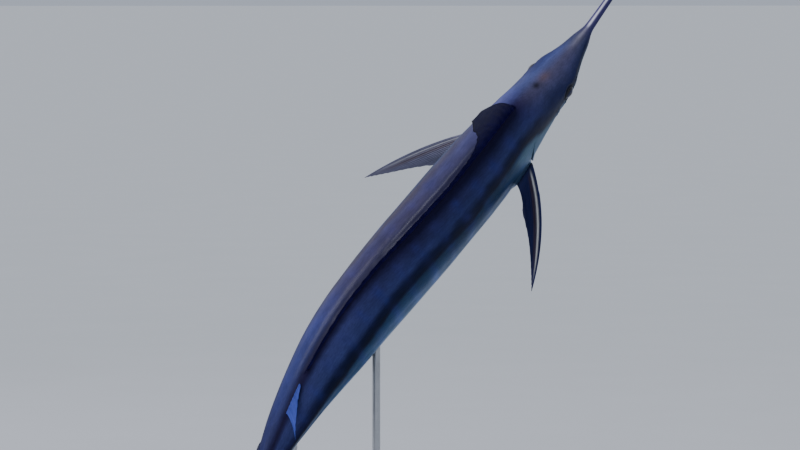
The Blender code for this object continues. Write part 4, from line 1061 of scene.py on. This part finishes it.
def eye_look():
    """Eye: painted iris and pupil under a clear wet front."""
    look = Look("eye_glass")
    rest, tint, finish = look.painted()
    flecks = look.noise(rest, 420, 4, 0.6)
    rough = look.math("ADD", finish[0], look.span(look.noise(rest, 90), -0.02, 0.05))
    return look.done(Base_Color=look.shaded(tint, flecks, 0.75, 1.25), Metallic=finish[1], Roughness=rough,
                     IOR=1.34, Coat_Weight=0.25, Coat_Roughness=0.03, Normal=look.bump(flecks, 0.05, 0.0003))


def wood_look():
    """Dark stained wood with its grain along the base, under a satin varnish."""
    look = Look("stained_wood")
    place = look.place()
    bend = look.noise(look.stretched(place, (1.1, 5, 5)), 1.4, 4, 0.6)
    rings = look.node("TexWave", "Fac", {"Vector": look.stretched(place, (0.12, 1, 1)), "Scale": 7,
                                         "Distortion": 4, "Detail": 3, "Detail Scale": 1.4},
                      wave_type="BANDS", bands_direction="Y")
    fibres = look.noise(look.stretched(place, (7, 260, 260)), 1)
    figure = look.math("ADD", look.math("MULTIPLY", rings, 0.4), look.math("MULTIPLY", bend, 0.6))
    color = look.shaded(look.colors(figure, WOOD_STOPS), fibres, 0.74, 1.16)
    normal = look.bump(look.noise(place, 6, 2), 0.06, 0.002, Normal=look.bump(fibres, 0.18, 0.0006))
    return look.done(Base_Color=color, Roughness=look.span(fibres, 0.38, 0.54), Coat_Weight=0.12,
                     Coat_Roughness=0.25, Normal=normal)


def steel_look():
    """Brushed steel, its fine lines running round the rods."""
    look = Look("brushed_steel")
    place = look.place()
    lines = look.noise(look.stretched(place, (6, 6, 1500)), 1)
    color = look.shaded(look.colors(look.noise(place, 11, 4), STEEL_STOPS), lines, 0.88, 1.08)
    return look.done(Base_Color=color, Metallic=1, Roughness=look.span(lines, 0.24, 0.4),
                     Normal=look.bump(lines, 0.16, 0.0003))


def floor_look():
    """Plain pale floor."""
    look = Look("pale_floor")
    grain = look.noise(look.place(), 1.3, 4)
    return look.done(Base_Color=look.shaded(FLOOR_COLOR, grain, 0.985, 1.015), Roughness=0.8)


def dress(nodes, look):
    """Give a material to solids that keep their own shape."""
    for name in nodes:
        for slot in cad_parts[name].material_slots:
            slot.material = look


def add_camera():
    """Place the camera where the photograph was taken from."""
    turn, drop = math.radians(CAMERA_TURN), math.atan(HORIZON / FOCAL)
    ahead = Vector((-math.sin(turn) * math.cos(drop), math.cos(turn) * math.cos(drop), -math.sin(drop)))
    right = Vector((math.cos(turn), math.sin(turn), 0))
    up = right.cross(ahead)
    aim = ahead + right * ((BALANCE_PIXEL[0] - PICTURE[0] / 2) / FOCAL)
    aim = aim + up * ((PICTURE[1] / 2 - BALANCE_PIXEL[1]) / FOCAL)
    data = bpy.data.cameras.new("camera")
    data.sensor_width = SENSOR
    data.lens = FOCAL / PICTURE[0] * SENSOR
    data.clip_end = 6000
    camera = linked("camera", data)
    camera.matrix_world = (Matrix.Translation(Vector(BALANCE_PLACE) - aim * CAMERA_DISTANCE)
                           @ Matrix((right, up, -ahead)).transposed().to_4x4())
    bpy.context.scene.camera = camera


def add_light(name, kind, place, energy, color, size):
    """Add a light that faces the middle of the fish."""
    data = bpy.data.lights.new(name, kind)
    data.energy = energy
    data.color = color
    if kind == "SUN":
        data.angle = math.radians(size)
    else:
        data.shape = "DISK"
        data.size = size
    lamp = linked(name, data)
    lamp.location = place
    lamp.rotation_euler = (Vector(BALANCE_PLACE) - Vector(place)).to_track_quat("-Z", "Y").to_euler()


def add_stage():
    """Add the floor, the lights and the pale surroundings."""
    mesh = bpy.data.meshes.new("floor")
    corners = [(x * FLOOR_REACH, y * FLOOR_REACH, 0) for x, y in ((-1, -1), (1, -1), (1, 1), (-1, 1))]
    mesh.from_pydata(corners, [], [(0, 1, 2, 3)])
    mesh.materials.append(floor_look())
    floor = linked("floor", mesh)
    world = bpy.data.worlds.new("studio")
    bpy.context.scene.world = world
    world.use_nodes = True
    sky = world.node_tree.nodes["Background"]
    sky.inputs["Color"].default_value = SKY_COLOR
    sky.inputs["Strength"].default_value = SKY_STRENGTH
    for light in LIGHTS:
        add_light(*light)


add_stage()
add_camera()
build_skin(skin_look())
add_fins(fin_look())
eyes = eye_look()
for side, word in SIDES:
    eyeball(word, side, eyes)
dress(("stand_base",), wood_look())
dress(("stand_rod_front", "stand_rod_rear"), steel_look())
